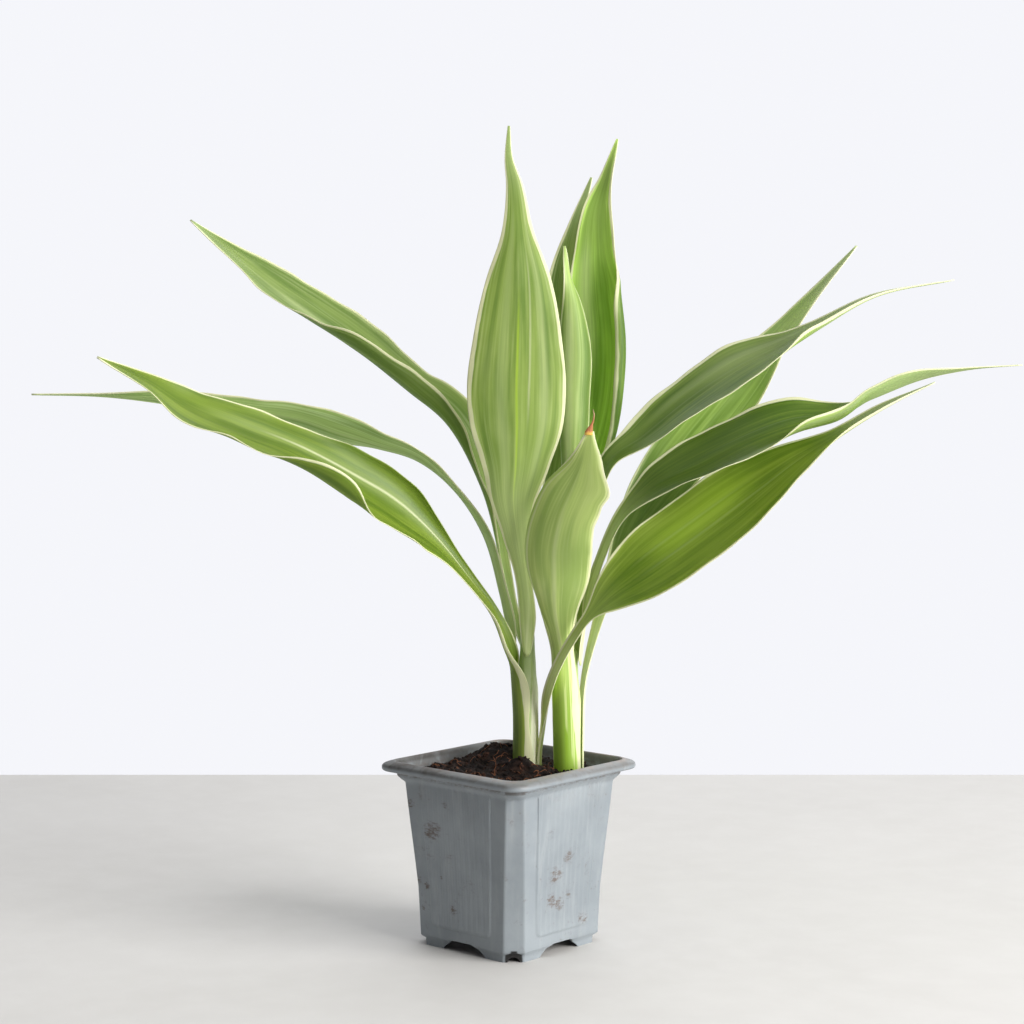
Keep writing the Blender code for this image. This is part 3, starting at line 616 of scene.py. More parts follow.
def leafFinish(name, leaf, face):
    finish = Finish(f"{name}_{face}")
    blade = finish.parts(finish.node("UVMap", {"uv_map": "blade"}))
    size = finish.parts(finish.node("UVMap", {"uv_map": "size"}))
    column, reach = blade[0] * 2 - 1, blade[1]
    halfWidth, along = size[0] * leafBuild["mapWidth"], size[1] * leafBuild["mapLength"]
    seed, red, blue, streak = (leaf[key] for key in ("seed", "red", "blue", "streak"))
    wide = halfWidth.rise(2.0, 7.0)
    broad = finish.grain((column * 3.0 + seed * 7, along * 0.014, seed), 1.0, 3.0)
    fine = finish.grain((column * 13 + seed * 3, along * 0.015, seed + 5), 1.0, 2.0, 0.6)
    veins = finish.grain((column * 30 + seed, along * 0.006, seed + 8), 1.0, 1.0)
    cloud = finish.grain((column * 1.3, along * 0.025, seed + 11), 1.0, 3.0)
    # Greens in long soft bands
    # The lift of each face is partly the leaf's own tone and partly painted light
    lift = leaf["lift"] if face == "upper" else leaf.get("underLift", leaf["lift"])
    deep, green, light = (
        (r * lift * red, g * lift, b * lift * blue)
        for r, g, b in (leafColours[key] for key in ("deep", "green", "light"))
    )
    midrib = (column * halfWidth).bump(0.0, 1.0) * (1 - reach.rise(0.75, 0.95))
    tone = finish.coats(
        finish.mix(broad.rise(0.36, 0.6) * 0.7 + 0.3, deep, green),
        ((1 - fine.rise(0.3, 0.5)) * wide * (0.45 * streak), deep),
        (fine.rise(0.5, 0.72) * wide * (0.5 * streak), light),
        (cloud.rise(0.5, 0.8) * 0.35, light),
        (veins.rise(0.48, 0.7) * wide * (0.3 * streak), deep),
        (midrib * leaf["midrib"], light),
    )
    # Stripes and patches: most are the real leaf's marks, some are painted sheen, painted light through the
    # blade and painted shade
    for key, one, two, width, start, end, strength in leaf["stripes"]:
        middle = one + (reach - start) * ((two - one) / (end - start)) + (broad - 0.5) * 0.06
        line = column.bump(middle, width * 2) * reach.rise(start, start + 0.1) * (1 - reach.rise(end - 0.1, end))
        tone = finish.mix(line * strength, tone, leafColours[key])
    if leaf["tail"]:
        start, strength = leaf["tail"]
        tone = finish.mix(reach.rise(start - 0.06, start + 0.05) * strength, tone, leafColours["tail"])
    pale = (1 - reach.rise(leaf["paleEnd"] * 0.45, leaf["paleEnd"])) * leaf["pale"]
    # Cream margins, with a fringe of light streaks
    side = column.rise(-0.1, 0.1)
    far, near, shade = (steps(reach, leaf[key]) for key in ("farCream", "nearCream", "shade"))
    width = far + side * (near - far)
    wobble = finish.grain((side * 9, along * 0.045, seed + 2), 1.0, 2.0)
    width = (width * (0.5 + wobble)).least(halfWidth * leaf["creamMost"])
    inward = (1 - abs(column)) * halfWidth
    margin = 1 - (inward - width).rise(-0.3, 0.25)
    fringe = (1 - (inward - width * 2).rise(-0.5, 0.6)) * fine.rise(0.4, 0.6) * 0.5
    creamy = finish.mix(fine.rise(0.5, 0.8) * leaf["creamStreaks"], leafColours["cream"], light)
    tone = finish.coats(tone, (pale * (0.65 + fine * 0.5), leaf["sheath"]), (fringe, light), (margin, creamy))
    if isinstance(shade, Wire):
        tone = finish.mix((1 - shade) * (1 - margin), tone, leafColours["shaded"])
    normal = finish.relief((veins * 0.3 + fine * 0.7) * wide, 0.00012, 0.5)
    rough = (0.40 if face == "upper" else 0.48) + cloud * 0.1
    skin = finish.skin(base=tone, rough=rough, normal=normal, specular=0.42)
    # Light that comes through the blade
    r, g, b = leafColours["glow"]
    streaked = (broad * 0.5 + fine * 0.5).rise(0.36, 0.62)
    streaked = finish.mix(streaked, (r * 0.7 * red, g * 0.8, b * 0.5 * blue), (r * red, g, b * blue))
    through = finish.node("BsdfTranslucent", inputs={"Color": streaked})
    throughCream = finish.node("BsdfTranslucent", inputs={"Color": colour(leafColours["glowCream"])})
    glow = finish.node("MixShader", inputs={0: margin, 1: through, 2: throughCream})
    share = shade * halfWidth.rise(1.5, 6.0) * leaf["glow"]
    return finish.finishWith(finish.node("MixShader", inputs={0: share, 1: skin, 2: glow}))


driedTip = {
    # The withered end of the small front leaf: across, toward, up and radius in mm
    "line": (
        (36.7, 12.6, 240.6, 1.9), (36.9, 12.3, 242.2, 1.9), (37.5, 12.0, 243.8, 1.3),
        (38.2, 11.6, 245.2, 0.62), (39.1, 11.4, 247.5, 0.38), (39.4, 11.2, 250.0, 0.26),
        (38.8, 11.0, 252.4, 0.12),
    ),
    "flat": 0.5,  # thickness as a share of the width
    "sides": 14,
}


def buildDriedTip():
    # A small ring drawn along a bent line, and closed to a point
    shape = bmesh.new()
    flat = driedTip["flat"]
    ring = bmesh.ops.create_circle(shape, segments=driedTip["sides"], radius=1.0)["verts"]
    edges = list(shape.edges)
    shape.faces.new(reversed(ring))
    for index, (across, toward, up, radius) in enumerate(driedTip["line"]):
        if index:
            made = bmesh.ops.extrude_edge_only(shape, edges=edges)["geom"]
            ring, edges = only(bmesh.types.BMVert, made), only(bmesh.types.BMEdge, made)
        middle = plantPoint(across, toward, up)
        for item in ring:
            if index:
                way = (item.co - before).normalized()
                way = Vector((way.dot(acrossWay), way.dot(towardWay) / flat, 0)).normalized()
            else:
                way = item.co.normalized()
            item.co = middle + (acrossWay * way.x + towardWay * way.y * flat) * radius * mm
        before = middle
    bmesh.ops.contextual_create(shape, geom=edges)
    finish = Finish("witheredLeaf")
    x, y, up = finish.parts(finish.place())
    grain = finish.grain((x, y, up * 0.5), 1.4, 3.0)
    tone = finish.mix((up + grain * 1.5).rise(241.8, 243.4), (0.85, 0.52, 0.10), (0.42, 0.15, 0.055))
    tone = finish.mix(up.rise(246, 251), tone, (0.52, 0.30, 0.20))
    skin = finish.skin(base=tone, rough=0.7, normal=finish.relief(grain, 0.0003, 0.6))
    goWith(newPiece("witheredTip", shape, [finish.finishWith(skin)]))


for leafName, ownValues in leaves.items():
    buildLeaf(leafName, {**usualLeaf, **ownValues})
buildDriedTip()
print("leaves built,", len(leaves))


# Stems

# Axis across and toward, then up and radius from the root end to the top, mm
stems = {
    "stem_left": {
        "axis": (8.8, -14.0), "pale": (0.95, 0.96, 0.72), "green": (0.50, 0.66, 0.22), "turn": 0.2, "rows": (
            (47.6, 4.2), (48.4, 4.6), (72, 5.3), (94, 5.3), (116, 5.2), (128, 4.1), (140, 3.5), (148.6, 3.2),
            (150, 2.2),
        ),
    },
    "stem_right": {
        "axis": (28.6, -6.0), "pale": (0.84, 0.87, 0.52), "green": (0.45, 0.62, 0.14), "turn": 1.4, "rows": (
            (47.6, 4.4), (48.4, 4.8), (72, 5.6), (92, 5.6), (112, 5.5), (127, 4.1), (134, 3.8), (137.2, 3.6),
            (138.4, 2.6),
        ),
    },
}

stemBuild = {
    "spacing": 3,  # mm between rings, about
    "sides": 48,
}


def stemFinish(name, stem):
    finish = Finish(name + "_rind")
    x, y, up = finish.parts(finish.place())
    centre = plantPoint(*stem["axis"], 0) / mm
    dx, dy = x - centre.x, y - centre.y
    streak = finish.grain((dx * 0.42, dy * 0.42, up * 0.012 + stem["turn"]), 1.0, 3.0, 0.6)
    thin = finish.grain((dx * 1.5, dy * 1.5, up * 0.01 + stem["turn"] * 5), 1.0, 2.0)
    tone = finish.coats(
        stem["pale"],
        (streak.rise(0.5, 0.68), stem["green"]),
        (thin.rise(0.52, 0.72) * 0.5, stem["green"]),
        (up.rise(108, 132) * 0.85, (0.26, 0.38, 0.10)),
    )
    normal = finish.relief(thin, 0.00015, 0.5)
    return finish.finishWith(finish.skin(base=tone, rough=0.42, normal=normal, specular=0.45))


def buildStem(name, stem):
    # A profile spun about the stem's axis
    shape = bmesh.new()
    stations = [(0.0, stem["rows"][0][0])]
    for (low, one), (high, two) in zip(stem["rows"], stem["rows"][1:]):
        count = max(1, round((high - low) / stemBuild["spacing"]))
        for step in range(count):
            share = step / count
            stations.append((one + (two - one) * share * share * (3 - 2 * share), low + (high - low) * share))
    top, radius = stem["rows"][-1]
    stations += [(radius, top), (radius * 0.55, top + 0.25), (0.0, top + 0.3)]
    centre = plantPoint(*stem["axis"], 0)
    outline = [shape.verts.new(centre + Vector((radius, 0, up)) * mm) for radius, up in stations]
    edges = [shape.edges.new(pair) for pair in zip(outline, outline[1:])]
    sweep = {"cent": centre, "axis": upWay, "angle": math.tau, "steps": stemBuild["sides"], "use_merge": True}
    bmesh.ops.spin(shape, geom=outline + edges, **sweep)
    bmesh.ops.remove_doubles(shape, verts=shape.verts, dist=1e-6)
    piece = newPiece(name.replace("stem", "cane"), shape, [stemFinish(name, stem)])
    standFor(piece, name)


for stemName, stemRows in stems.items():
    buildStem(stemName, stemRows)
print("stems built")


# Soil

soilBuild = {
    "level": 81.6,
    "columns": 120,
    "heaps": (  # across, toward, spread, height
        (-5.0, -24.0, 12.5, 8.6), (5.0, 0.5, 7.0, 5.8), (13.0, 3.5, 7.0, 2.0), (-2.0, 12.0, 9.0, -1.5),
    ),
    "edges": (  # half width, corner, height
        (38.2, 7.0, 80.2), (37.9, 7.6, 79.0), (35.9, 9.4, 77.4), (32.1, 10.8, 28.0), (31.4, 11.4, 8.3),
    ),
    "holes": (  # across, toward, radius, foot
        (8.8, -14.0, 7.6, 72.0), (8.8, -14.0, 5.8, 47.0), (28.6, -6.0, 8.2, 72.0), (28.6, -6.0, 6.1, 47.0),
    ),
    "holeTop": 100.0,
    "crumbs": 520,
    "crumbSeed": 7,
    "crumbSizes": (0.4, 0.95),
    "largeCrumbSizes": (1.0, 1.9),
    "fibres": 90,
    "fibreSeed": 21,
    "fibreRadius": 0.17,
    "fibreStep": 0.9,
    "scatter": 38,  # mm either way from the middle
    "stemRoom": 1.6,  # kept free of crumbs and fibres round each hole
    "strayFibre": (  # one that hangs from a leaf base
        (-6.5, 17, 82.5), (-6.8, 17.5, 85), (-6.0, 18, 87.2), (-6.2, 18.4, 89.4), (-7.3, 18.6, 91.4),
    ),
}


def edgeAlong(way, half, corner):
    # How far from the axis a square with rounded corners lies this way
    x, y = abs(way.x), abs(way.y)
    flat = half - corner
    reach = half / max(x, y)
    if min(x, y) * reach <= flat:
        return reach
    middle = flat * (x + y)
    return middle + math.sqrt(max(0.0, middle * middle - 2 * flat * flat + corner * corner))


def soilHeight(x, y):
    across = x * acrossWay.x + y * acrossWay.y
    toward = x * towardWay.x + y * towardWay.y
    height = soilBuild["level"]
    for heapAcross, heapToward, spread, rise in soilBuild["heaps"]:
        away = math.hypot(across - heapAcross, toward - heapToward) / spread
        height += rise * math.exp(-away * away)
    lumps = math.sin(0.55 * x + 1.3) * math.cos(0.48 * y) + 0.6 * math.sin(0.9 * y + 0.5 * x)
    rough = noise.noise(Vector((x * 0.22, y * 0.22, 1.7))) * 1.1
    rough += noise.noise(Vector((x * 0.6, y * 0.6, 4.2))) * 0.7
    grains = noise.noise(Vector((x * 1.5, y * 1.5, 8.8))) * 0.35
    return height + 0.45 * lumps + rough + grains


def soilFinish(name, dark, warm):
    finish = Finish(name)
    spot = finish.place()
    lumps = finish.grain(spot, 0.22, 4.0, 0.6)
    grit = finish.grain(spot, 1.3, 4.0, 0.7)
    tone = finish.coats(dark, (lumps.rise(0.42, 0.68), warm), (grit.rise(0.6, 0.8) * 0.5, (0.085, 0.032, 0.018)))
    tone = finish.mix(1 - grit.rise(0.35, 0.55), tone, (0.4, 0.4, 0.4), "MULTIPLY")
    normal = finish.relief(grit, 0.0009, 1.0)
    return finish.finishWith(finish.skin(base=tone, rough=0.95, normal=normal, specular=0.25))


def buildSoil():
    # A grid drawn out to the pot's rounded square, let down at its edge and closed below
    shape = bmesh.new()
    count = soilBuild["columns"]
    bmesh.ops.create_grid(shape, x_segments=count, y_segments=count, size=1.0)
    half, corner, up = soilBuild["edges"][0]
    edge = [item for item in shape.edges if item.is_boundary]
    for vertex in shape.verts:
        x, y = vertex.co.x, vertex.co.y
        share = max(abs(x), abs(y))
        if share < 1e-6:
            vertex.co = Vector((0, 0, soilHeight(0, 0))) * mm
            continue
        way = Vector((x, y, 0)).normalized()
        flat = way * edgeAlong(way, half, corner) * share
        height = soilHeight(flat.x, flat.y)
        drop = soft(share, 0.94, 1.0)
        vertex.co = Vector((flat.x, flat.y, height * (1 - drop) + up * drop)) * mm
    for half, corner, up in soilBuild["edges"][1:]:
        made = bmesh.ops.extrude_edge_only(shape, edges=edge)["geom"]
        for vertex in only(bmesh.types.BMVert, made):
            way = Vector((vertex.co.x, vertex.co.y, 0)).normalized()
            reach = edgeAlong(way, half, corner)
            vertex.co = Vector((way.x * reach, way.y * reach, up)) * mm
        edge = only(bmesh.types.BMEdge, made)
    bmesh.ops.holes_fill(shape, edges=edge, sides=0)
    finish = soilFinish("pottingSoil", (0.010, 0.006, 0.005), (0.035, 0.017, 0.011))
    piece = newPiece("soilFill", shape, [finish])
    cutters = []
    top = soilBuild["holeTop"]
    for across, toward, radius, foot in soilBuild["holes"]:
        middle = Matrix.Translation(plantPoint(across, toward, (top + foot) / 2))
        cutters.append(newCutter("bore", radius, top - foot, middle, 48))
    cutAway(piece, cutters)
    piece.data.shade_smooth()
    standFor(piece, "soil")


def soilSpot(dice, reach=0.93):
    # A place on the soil clear of the stems
    half, corner, up = soilBuild["edges"][0]
    scatter = soilBuild["scatter"]
    while True:
        x, y = dice.uniform(-scatter, scatter), dice.uniform(-scatter, scatter)
        way = Vector((x, y, 0))
        clear = way.length <= edgeAlong(way.normalized(), half, corner) * reach
        for across, toward, radius, foot in soilBuild["holes"]:
            centre = plantPoint(across, toward, 0) / mm
            clear = clear and math.hypot(x - centre.x, y - centre.y) > radius + soilBuild["stemRoom"]
        if clear:
            return x, y


def buildCrumbs():
    # Lumpy grains of several sizes. Each sixth one is larger and finer
    dice = random.Random(soilBuild["crumbSeed"])
    shape = bmesh.new()
    for number in range(soilBuild["crumbs"]):
        x, y = soilSpot(dice)
        large = number % 6 == 0
        size = dice.uniform(*soilBuild["largeCrumbSizes" if large else "crumbSizes"])
        place = Matrix.Translation(Vector((x, y, soilHeight(x, y) + size * 0.25)) * mm)
        angle = dice.uniform(0, 6)
        turn = Matrix.Rotation(angle, 4, Vector((dice.random(), dice.random(), dice.random() + 0.1)))
        spread = Matrix.Diagonal((1.0, dice.uniform(0.6, 1), dice.uniform(0.5, 0.9), 1))
        made = bmesh.ops.create_icosphere(
            shape, subdivisions=2 if large else 1, radius=size * mm, matrix=place @ turn @ spread
        )
        centre = place.translation
        for vertex in made["verts"]:
            vertex.co = centre + (vertex.co - centre) * (1 + noise.noise(vertex.co / mm * 0.9) * 0.45)
    finish = soilFinish("crumbs", (0.012, 0.007, 0.0055), (0.055, 0.023, 0.014))
    goWith(newPiece("soilCrumbs", shape, [finish]))


def buildFibres():
    # Thin root fibres on the soil
    dice = random.Random(soilBuild["fibreSeed"])
    path = bpy.data.curves.new("fibres", "CURVE")
    path.dimensions = "3D"
    path.bevel_depth = soilBuild["fibreRadius"] * mm
    path.bevel_resolution = 1
    path.use_fill_caps = True
    lines = [[plantPoint(*point) for point in soilBuild["strayFibre"]]]
    for number in range(soilBuild["fibres"]):
        x, y = soilSpot(dice, 0.86)
        angle = dice.uniform(0, math.tau)
        bend = dice.uniform(-0.5, 0.5)
        points = []
        for step in range(6):
            points.append(Vector((x, y, soilHeight(x, y) + 0.15 + 0.5 * math.sin(step * 0.7))) * mm)
            x += math.cos(angle) * soilBuild["fibreStep"]
            y += math.sin(angle) * soilBuild["fibreStep"]
            angle += bend
        lines.append(points)
    for points in lines:
        line = path.splines.new("POLY")
        line.points.add(len(points) - 1)
        for index, (point, spot) in enumerate(zip(line.points, points)):
            point.co = (*spot, 1)
            point.radius = 1.0 - 0.5 * index / len(points)
    finish = Finish("fibre")
    tone = finish.mix(finish.grain(finish.place(), 0.1), (0.10, 0.035, 0.018), (0.30, 0.12, 0.055))
    path.materials.append(finish.finishWith(finish.skin(base=tone, rough=0.85, specular=0.3)))
    goWith(addObject("soilFibres", path))


buildSoil()
buildCrumbs()
buildFibres()
print("soil built")


# Pot

potBuild = {
    # Width, corner and height, from under the floor, out and over the rim, to the floor's top
    "profile": (
        (59.8, 5.8, 5.6), (59.8, 5.8, 0), (62.6, 7.2, 0), (62.6, 7.2, 1.8), (62.8, 7.2, 3.4), (66, 7.2, 4.8),
        (66.2, 7.2, 5.2), (66.3, 7.1, 7), (66.4, 7.1, 9), (66.42, 7.1, 9.8), (66.45, 7.1, 10.2),
        (66.48, 7.1, 10.6), (66.55, 7.1, 11.2), (66.6, 7.1, 12), (66.7, 7.1, 13.5), (67.6, 6.9, 28),
        (69.2, 6.8, 38), (70.7, 6.6, 48), (72.3, 6.4, 58), (73.8, 6.2, 68), (75, 6.1, 76.2), (75.2, 6.1, 77.2),
        (76.4, 7.5, 78.3), (79.2, 9, 79.6), (79.9, 9, 80.3), (80, 9, 81.8), (80.3, 9, 82.3), (81.2, 9, 82.5),
        (87.6, 9, 82.5), (88.8, 9, 82.65), (89.6, 9, 83), (90, 9, 83.6), (90, 9, 84.3), (89.75, 9, 84.9),
        (89.1, 9, 85.45), (88, 9, 85.85), (86, 9, 86.25), (83.6, 8.4, 86.65), (81.8, 7.6, 86.95),
        (81, 7.2, 87), (80.3, 7, 86.95), (79.8, 7, 86.6), (79.5, 7, 86.1), (78.9, 7, 84), (77.2, 7, 79.6),
        (72.4, 5.4, 77.4), (64.8, 6.2, 28), (63.4, 6.5, 8),
    ),
    "outerRows": 22,  # rows of the profile up to the foot of the lip
    "roundFrom": 78,  # the corners are flat cuts below this height and round above it
    "sideColumns": 132,
    "cornerColumns": 9,
    "panelFoot": 10.4,
    "panelTop": 77.3,
    "panelHeight": 66.6,
    "panelHalf": (18.4, 22.4),  # at its foot and at its top
    "panelCorner": 3.0,
    "panelRise": 0.6,
    "ribPitch": 3.3,
    "ribHeight": 0.3,
    "arch": ((13.5, -1), (13.5, 0), (12.9, 0.9), (7.2, 4.9), (6, 5.4)),  # half of the gap between two feet
    "notch": (3, -0.7),  # radius and height of the cut in each foot
    "archReach": 60,  # mm from the axis
    "notchLength": 180,
    "sharpAngle": 50,
    # Smudges of soil: x, y, up, radius in mm and strength
    "smudges": (
        (-16, -36, 56, 5, 0.9), (-12, -36, 57.5, 3, 0.9), (-29, -37, 68, 2.6, 0.8), (-22, -37, 72, 2, 0.6),
        (-6, -37, 70, 2, 0.6), (-4, -34, 44, 4, 0.4), (-20, -35, 46, 4.5, 0.4), (-11, -34, 35, 1.2, 1),
        (-21, -34, 29, 2, 0.9), (-28, -34, 32, 3.6, 0.7), (-4, -33, 20, 2.4, 0.9), (-24, -33, 18, 1.6, 0.8),
        (-28, -34, 45, 3, 0.4), (35, -6, 38, 4.5, 0.8), (35, 2, 45, 3.5, 0.8), (34, -9, 26, 3.4, 0.9),
        (34, -3, 24, 3.6, 0.8), (34, 4, 27, 2.4, 0.6), (36, -12, 58, 3, 0.4), (34, 14, 14, 3.5, 0.7),
    ),
}


def panelRise(across, up):
    # How far the ribbed panel stands out of a side
    low, high = potBuild["panelHalf"]
    foot, corner = potBuild["panelFoot"], potBuild["panelCorner"]
    half = low + (high - low) * (up - foot) / potBuild["panelHeight"]
    dx, dz = half - abs(across), up - foot
    if dx < corner and dz < corner:
        inside = corner - math.hypot(corner - dx, corner - dz)
    else:
        inside = min(dx, dz)
    if inside <= 0:
        return 0.0
    shape = soft(inside, 0, 0.45)
    rib = 0.5 - 0.5 * math.cos(math.tau * across / potBuild["ribPitch"])
    return shape * (potBuild["panelRise"] - potBuild["ribHeight"] * rib * soft(inside, 0.5, 1.8))


def potPoint(turn, step, width, corner, up, outside):
    # Steps run over one corner and then one side
    half = width / 2
    corners, sides = potBuild["cornerColumns"], potBuild["sideColumns"]
    if step <= corners:
        at = step / corners
        if up > potBuild["roundFrom"]:
            angle = math.radians(90 * at)
            x, y = half - corner + corner * math.cos(angle), half - corner + corner * math.sin(angle)
        else:
            x, y = half - corner * at, half - corner * (1 - at)
    else:
        at = (step - corners) / sides
        x, y = (half - corner) * (1 - 2 * at), half
        if outside and potBuild["panelFoot"] < up < potBuild["panelTop"]:
            y += panelRise(x, up)
    c, s = math.cos(turn), math.sin(turn)
    return Vector((x * c - y * s, x * s + y * c, up)) * mm


def potFinish():
    finish = Finish("greyPlastic")
    spot = finish.place()
    x, y, up = finish.parts(spot)
    mottle = finish.grain(spot, 0.035, 4.0, 0.6)
    smear = finish.grain((x * 0.25, y * 0.25, up * 0.03), 1.0, 3.0)
    dust = finish.grain(spot, 0.1, 4.0, 0.75, 0.6)
    specks = finish.grain(spot, 0.42, 3.0, 0.7)
    flecks = finish.grain((x, y, up * 2.4), 0.3, 6.0, 0.8, 0.3)
    near = 0.0
    for *centre, radius, strength in potBuild["smudges"]:
        away = finish.node("VectorMath", {"operation": "DISTANCE"}, {0: spot, 1: centre}, 1)
        near = ((1 - away.rise(radius * 0.2, radius * 1.7)) * strength).most(near)
    soiled = (flecks + near * 0.2).rise(0.54, 0.76) * (near * 1.8).least(1.0)
    speckled = dust.rise(0.5, 0.7) * specks.rise(0.54, 0.7) * 0.45
    outward = abs(x).most(abs(y))
    # The inner wall under the rim is darkened: partly dirt, partly painted shade
    inside = up.rise(79.4, 80.4) * (1 - up.rise(85.2, 86.6)) * (dust.rise(0.35, 0.6) * 0.5 + 0.5)
    # The top of the lip is darkened: a film of dust, and painted shade
    lipTopDustAndShade = up.rise(83.6, 85.4) * (0.55 + dust.rise(0.4, 0.65) * 0.3)
    lipEdge = up.bump(86.9, 0.9) * dust.rise(0.3, 0.6)
    # The far left of the lip is darker: painted shade, with some dust
    leftLipShadeAndDust = 1 - (x * 0.75 + y * 0.66).rise(-45, 0)  # the far left of the lip
    tone = finish.coats(
        finish.mix(mottle.rise(0.3, 0.7), (0.219, 0.248, 0.271), (0.274, 0.305, 0.328)),
        (smear.rise(0.5, 0.8) * 0.35, (0.37, 0.395, 0.41)),
        (dust.rise(0.45, 0.75) * up.rise(50, 80) * 0.15, (0.28, 0.25, 0.22)),
        ((soiled * 0.85).most(speckled), (0.105, 0.066, 0.048)),
        # Painted shade and dirt on the inner wall
        (inside * (1 - outward.rise(39.55, 39.8)) * 0.85, (0.09, 0.088, 0.086)),
        (up.bump(81.6, 2.2) * flecks.rise(0.42, 0.58) * 0.7, (0.10, 0.075, 0.062)),  # under the lip
        # The lip top darkened: dust and painted shade
        (lipTopDustAndShade, (0.135, 0.128, 0.122)),
        # Painted shade on the left of the lip top, with some dust
        (lipTopDustAndShade * leftLipShadeAndDust, (0.04, 0.036, 0.034)),
        (lipEdge * (0.4 - leftLipShadeAndDust * 0.32), (0.36, 0.27, 0.23)),
        # Painted shade under the pot, with a little soil
        ((1 - up.rise(5.5, 6.2)) * (1 - outward.rise(30.2, 30.9)), (0.012, 0.012, 0.012)),  # under the pot
    )
    rough = 0.38 + mottle * 0.14 + soiled * 0.3 + lipTopDustAndShade * leftLipShadeAndDust * 0.3
    normal = finish.relief(finish.grain(spot, 0.9, 2.0), 0.00008, 0.4)
    return finish.finishWith(finish.skin(base=tone, rough=rough, normal=normal, specular=0.5))


def buildPot():
    # A grid wrapped four times round the axis, row by row through the profile, then closed at both ends
    profile = potBuild["profile"]
    quarter = potBuild["cornerColumns"] + potBuild["sideColumns"]
    around = 4 * quarter
    shape = bmesh.new()
    bmesh.ops.create_grid(shape, x_segments=around, y_segments=len(profile) - 1, size=1.0)
    for vertex in shape.verts:
        column = round((vertex.co.x + 1) / 2 * around) % around
        row = round((vertex.co.y + 1) / 2 * (len(profile) - 1))
        turn, step = divmod(column, quarter)
        vertex.co = potPoint(math.radians(90 * turn), step, *profile[row], row < potBuild["outerRows"])
    bmesh.ops.remove_doubles(shape, verts=shape.verts, dist=1e-6)
    bmesh.ops.holes_fill(shape, edges=[item for item in shape.edges if item.is_boundary], sides=0)
    piece = newPiece("plasticPot", shape, [potFinish()], smooth=False)
    cutters = []
    half, long = potBuild["arch"], potBuild["archReach"]
    arch = [(-side, up) for side, up in half] + [*reversed(half)]
    for turn in (0, 90):
        outline = bmesh.new()
        spin = Matrix.Rotation(math.radians(turn), 3, "Z")
        corners = [outline.verts.new(spin @ Vector((-long, side, up)) * mm) for side, up in arch]
        face = outline.faces.new(corners)
        made = bmesh.ops.extrude_face_region(outline, geom=[face])["geom"]
        moved = only(bmesh.types.BMVert, made)
        bmesh.ops.translate(outline, verts=moved, vec=spin @ Vector((2 * long, 0, 0)) * mm)
        cutters.append(newPiece("arch", outline, [], smooth=False))
    radius, up = potBuild["notch"]
    for turn in (45, 135):
        spin = Matrix.Rotation(math.radians(turn), 4, "Z") @ Matrix.Rotation(math.radians(90), 4, "X")
        place = Matrix.Translation(Vector((0, 0, up * mm))) @ spin
        cutters.append(newCutter("notch", radius, potBuild["notchLength"], place, 40))
    cutAway(piece, cutters)
    piece.data.shade_smooth()
    piece.data.set_sharp_from_angle(angle=math.radians(potBuild["sharpAngle"]))
    standFor(piece, "pot")


buildPot()
print("pot built")


# Stage

stageBuild = {
    # The floor, in mm from the pot's axis
    "farEdge": -419.0,
    "nearEdge": 900.0,
    "halfWidth": 1600.0,
    "drop": 30.0,
    # Each light: name, across, toward and up in mm, size in metres, power and colour
    "lights": (
        ("rightWindow", (1560, 980, 700), (1.4, 1.5), 62, (1.0, 0.99, 0.97)),
        ("ceiling", (-100, 420, 1500), (1.6, 1.4), 6.5, (1.0, 1.0, 0.99)),
        ("backWindow", (300, -1500, 1100), (2.0, 1.2), 10, (0.98, 0.99, 1.0)),
    ),
    "aim": (0, 0, 200),
    "lens": 84.375,
    "cameraPlace": (1.44, 1119.19, 292.01),
    "cameraPitch": 85.5,
}


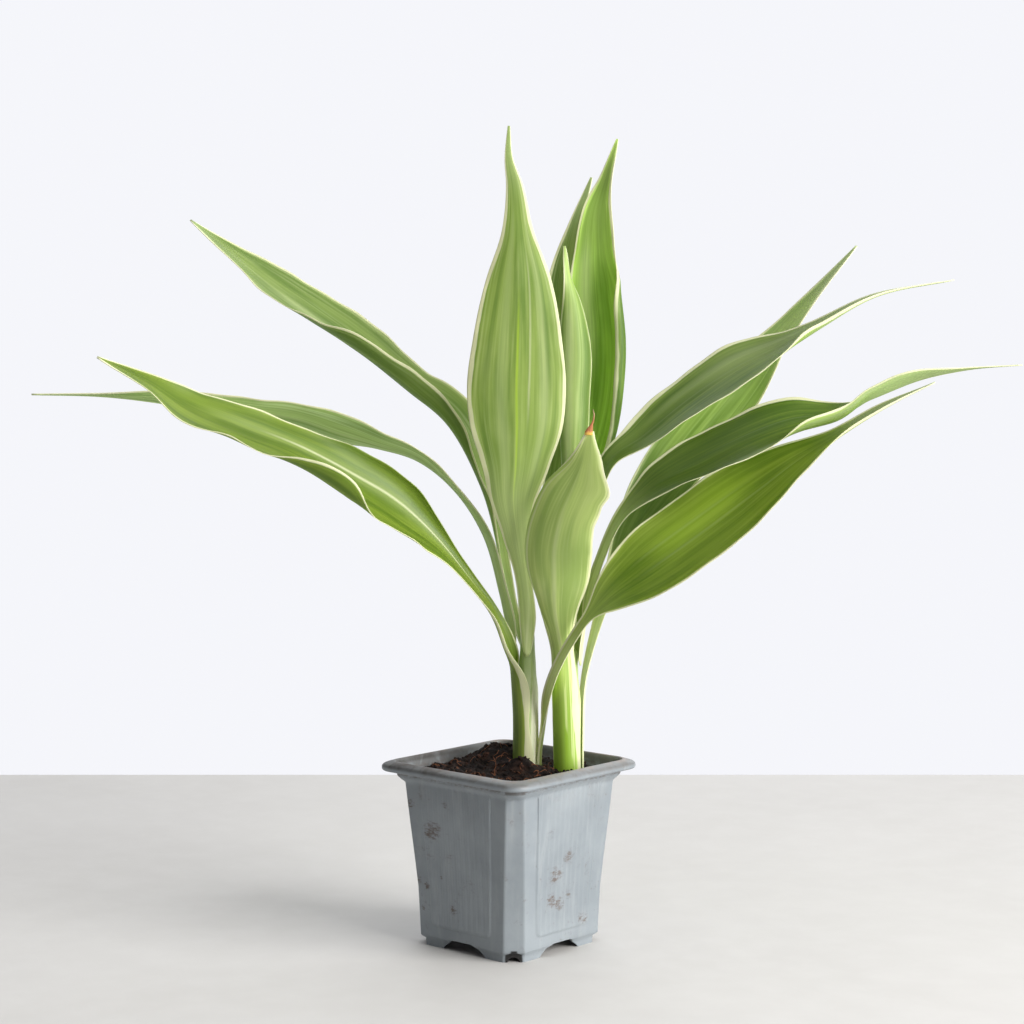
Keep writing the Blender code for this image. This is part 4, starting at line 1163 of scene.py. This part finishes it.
def floorFinish():
    finish = Finish("paleFloor")
    x, y, up = finish.parts(finish.place())
    cloud = finish.grain((x, y, 0), 0.006, 4.0, 0.55)
    speck = finish.grain((x, y, 0), 0.05, 5.0, 0.6)
    tone = finish.mix(cloud, (0.585, 0.568, 0.545), (0.68, 0.665, 0.645))
    tone = finish.mix(speck.rise(0.3, 0.8) * 0.25, tone, (0.72, 0.707, 0.69))
    return finish.finishWith(finish.skin(base=tone, rough=0.75, specular=0.3))


def buildFloor():
    shape = bmesh.new()
    bmesh.ops.create_cube(shape, size=1.0)
    near, far = stageBuild["nearEdge"], stageBuild["farEdge"]
    for vertex in shape.verts:
        across = stageBuild["halfWidth"] * (1 if vertex.co.x > 0 else -1)
        toward = near if vertex.co.y > 0 else far
        vertex.co = plantPoint(across, toward, 0 if vertex.co.z > 0 else -stageBuild["drop"])
    newPiece("floorSlab", shape, [floorFinish()], smooth=False)


def addLight(name, place, size, power, tint):
    lamp = bpy.data.lights.new(name, "AREA")
    lamp.shape = "RECTANGLE"
    lamp.size, lamp.size_y = size
    lamp.energy = power
    lamp.color = tint
    made = addObject(name, lamp)
    made.location = plantPoint(*place)
    made.rotation_euler = (plantPoint(*stageBuild["aim"]) - made.location).to_track_quat("-Z", "Y").to_euler()


def addCamera():
    camera = bpy.data.cameras.new("camera")
    camera.lens = stageBuild["lens"]
    camera.sensor_width = 36
    made = addObject("camera", camera)
    made.location = plantPoint(*stageBuild["cameraPlace"])
    made.rotation_euler = (math.radians(stageBuild["cameraPitch"]), 0, plantTurn)
    bpy.context.scene.camera = made


def buildWorld():
    # Bright behind the plant and dim in front of it. The camera sees the same pale tone all round
    world = Finish("paleRoom", bpy.data.worlds)
    way = world.node("TexCoord", output=0)
    ahead, sideways = (
        world.node("VectorMath", {"operation": "DOT_PRODUCT"}, {0: way, 1: axis}, 1)
        for axis in (-towardWay, acrossWay)
    )
    light = world.mix(ahead.rise(-0.25, 0.6), (0.07, 0.072, 0.075), (0.80, 0.82, 0.87))
    light = world.mix(sideways.rise(0.1, 0.9) * 0.5, light, (0.9, 0.9, 0.9))
    shown = world.mix(world.node("LightPath"), light, (0.915, 0.922, 0.962))
    world.node("OutputWorld", inputs={"Surface": world.node("Background", inputs={"Color": shown})})
    bpy.context.scene.world = world.made


buildFloor()
buildWorld()
for values in stageBuild["lights"]:
    addLight(*values)
addCamera()
bpy.context.scene.view_settings.view_transform = "Standard"
print("stage set")
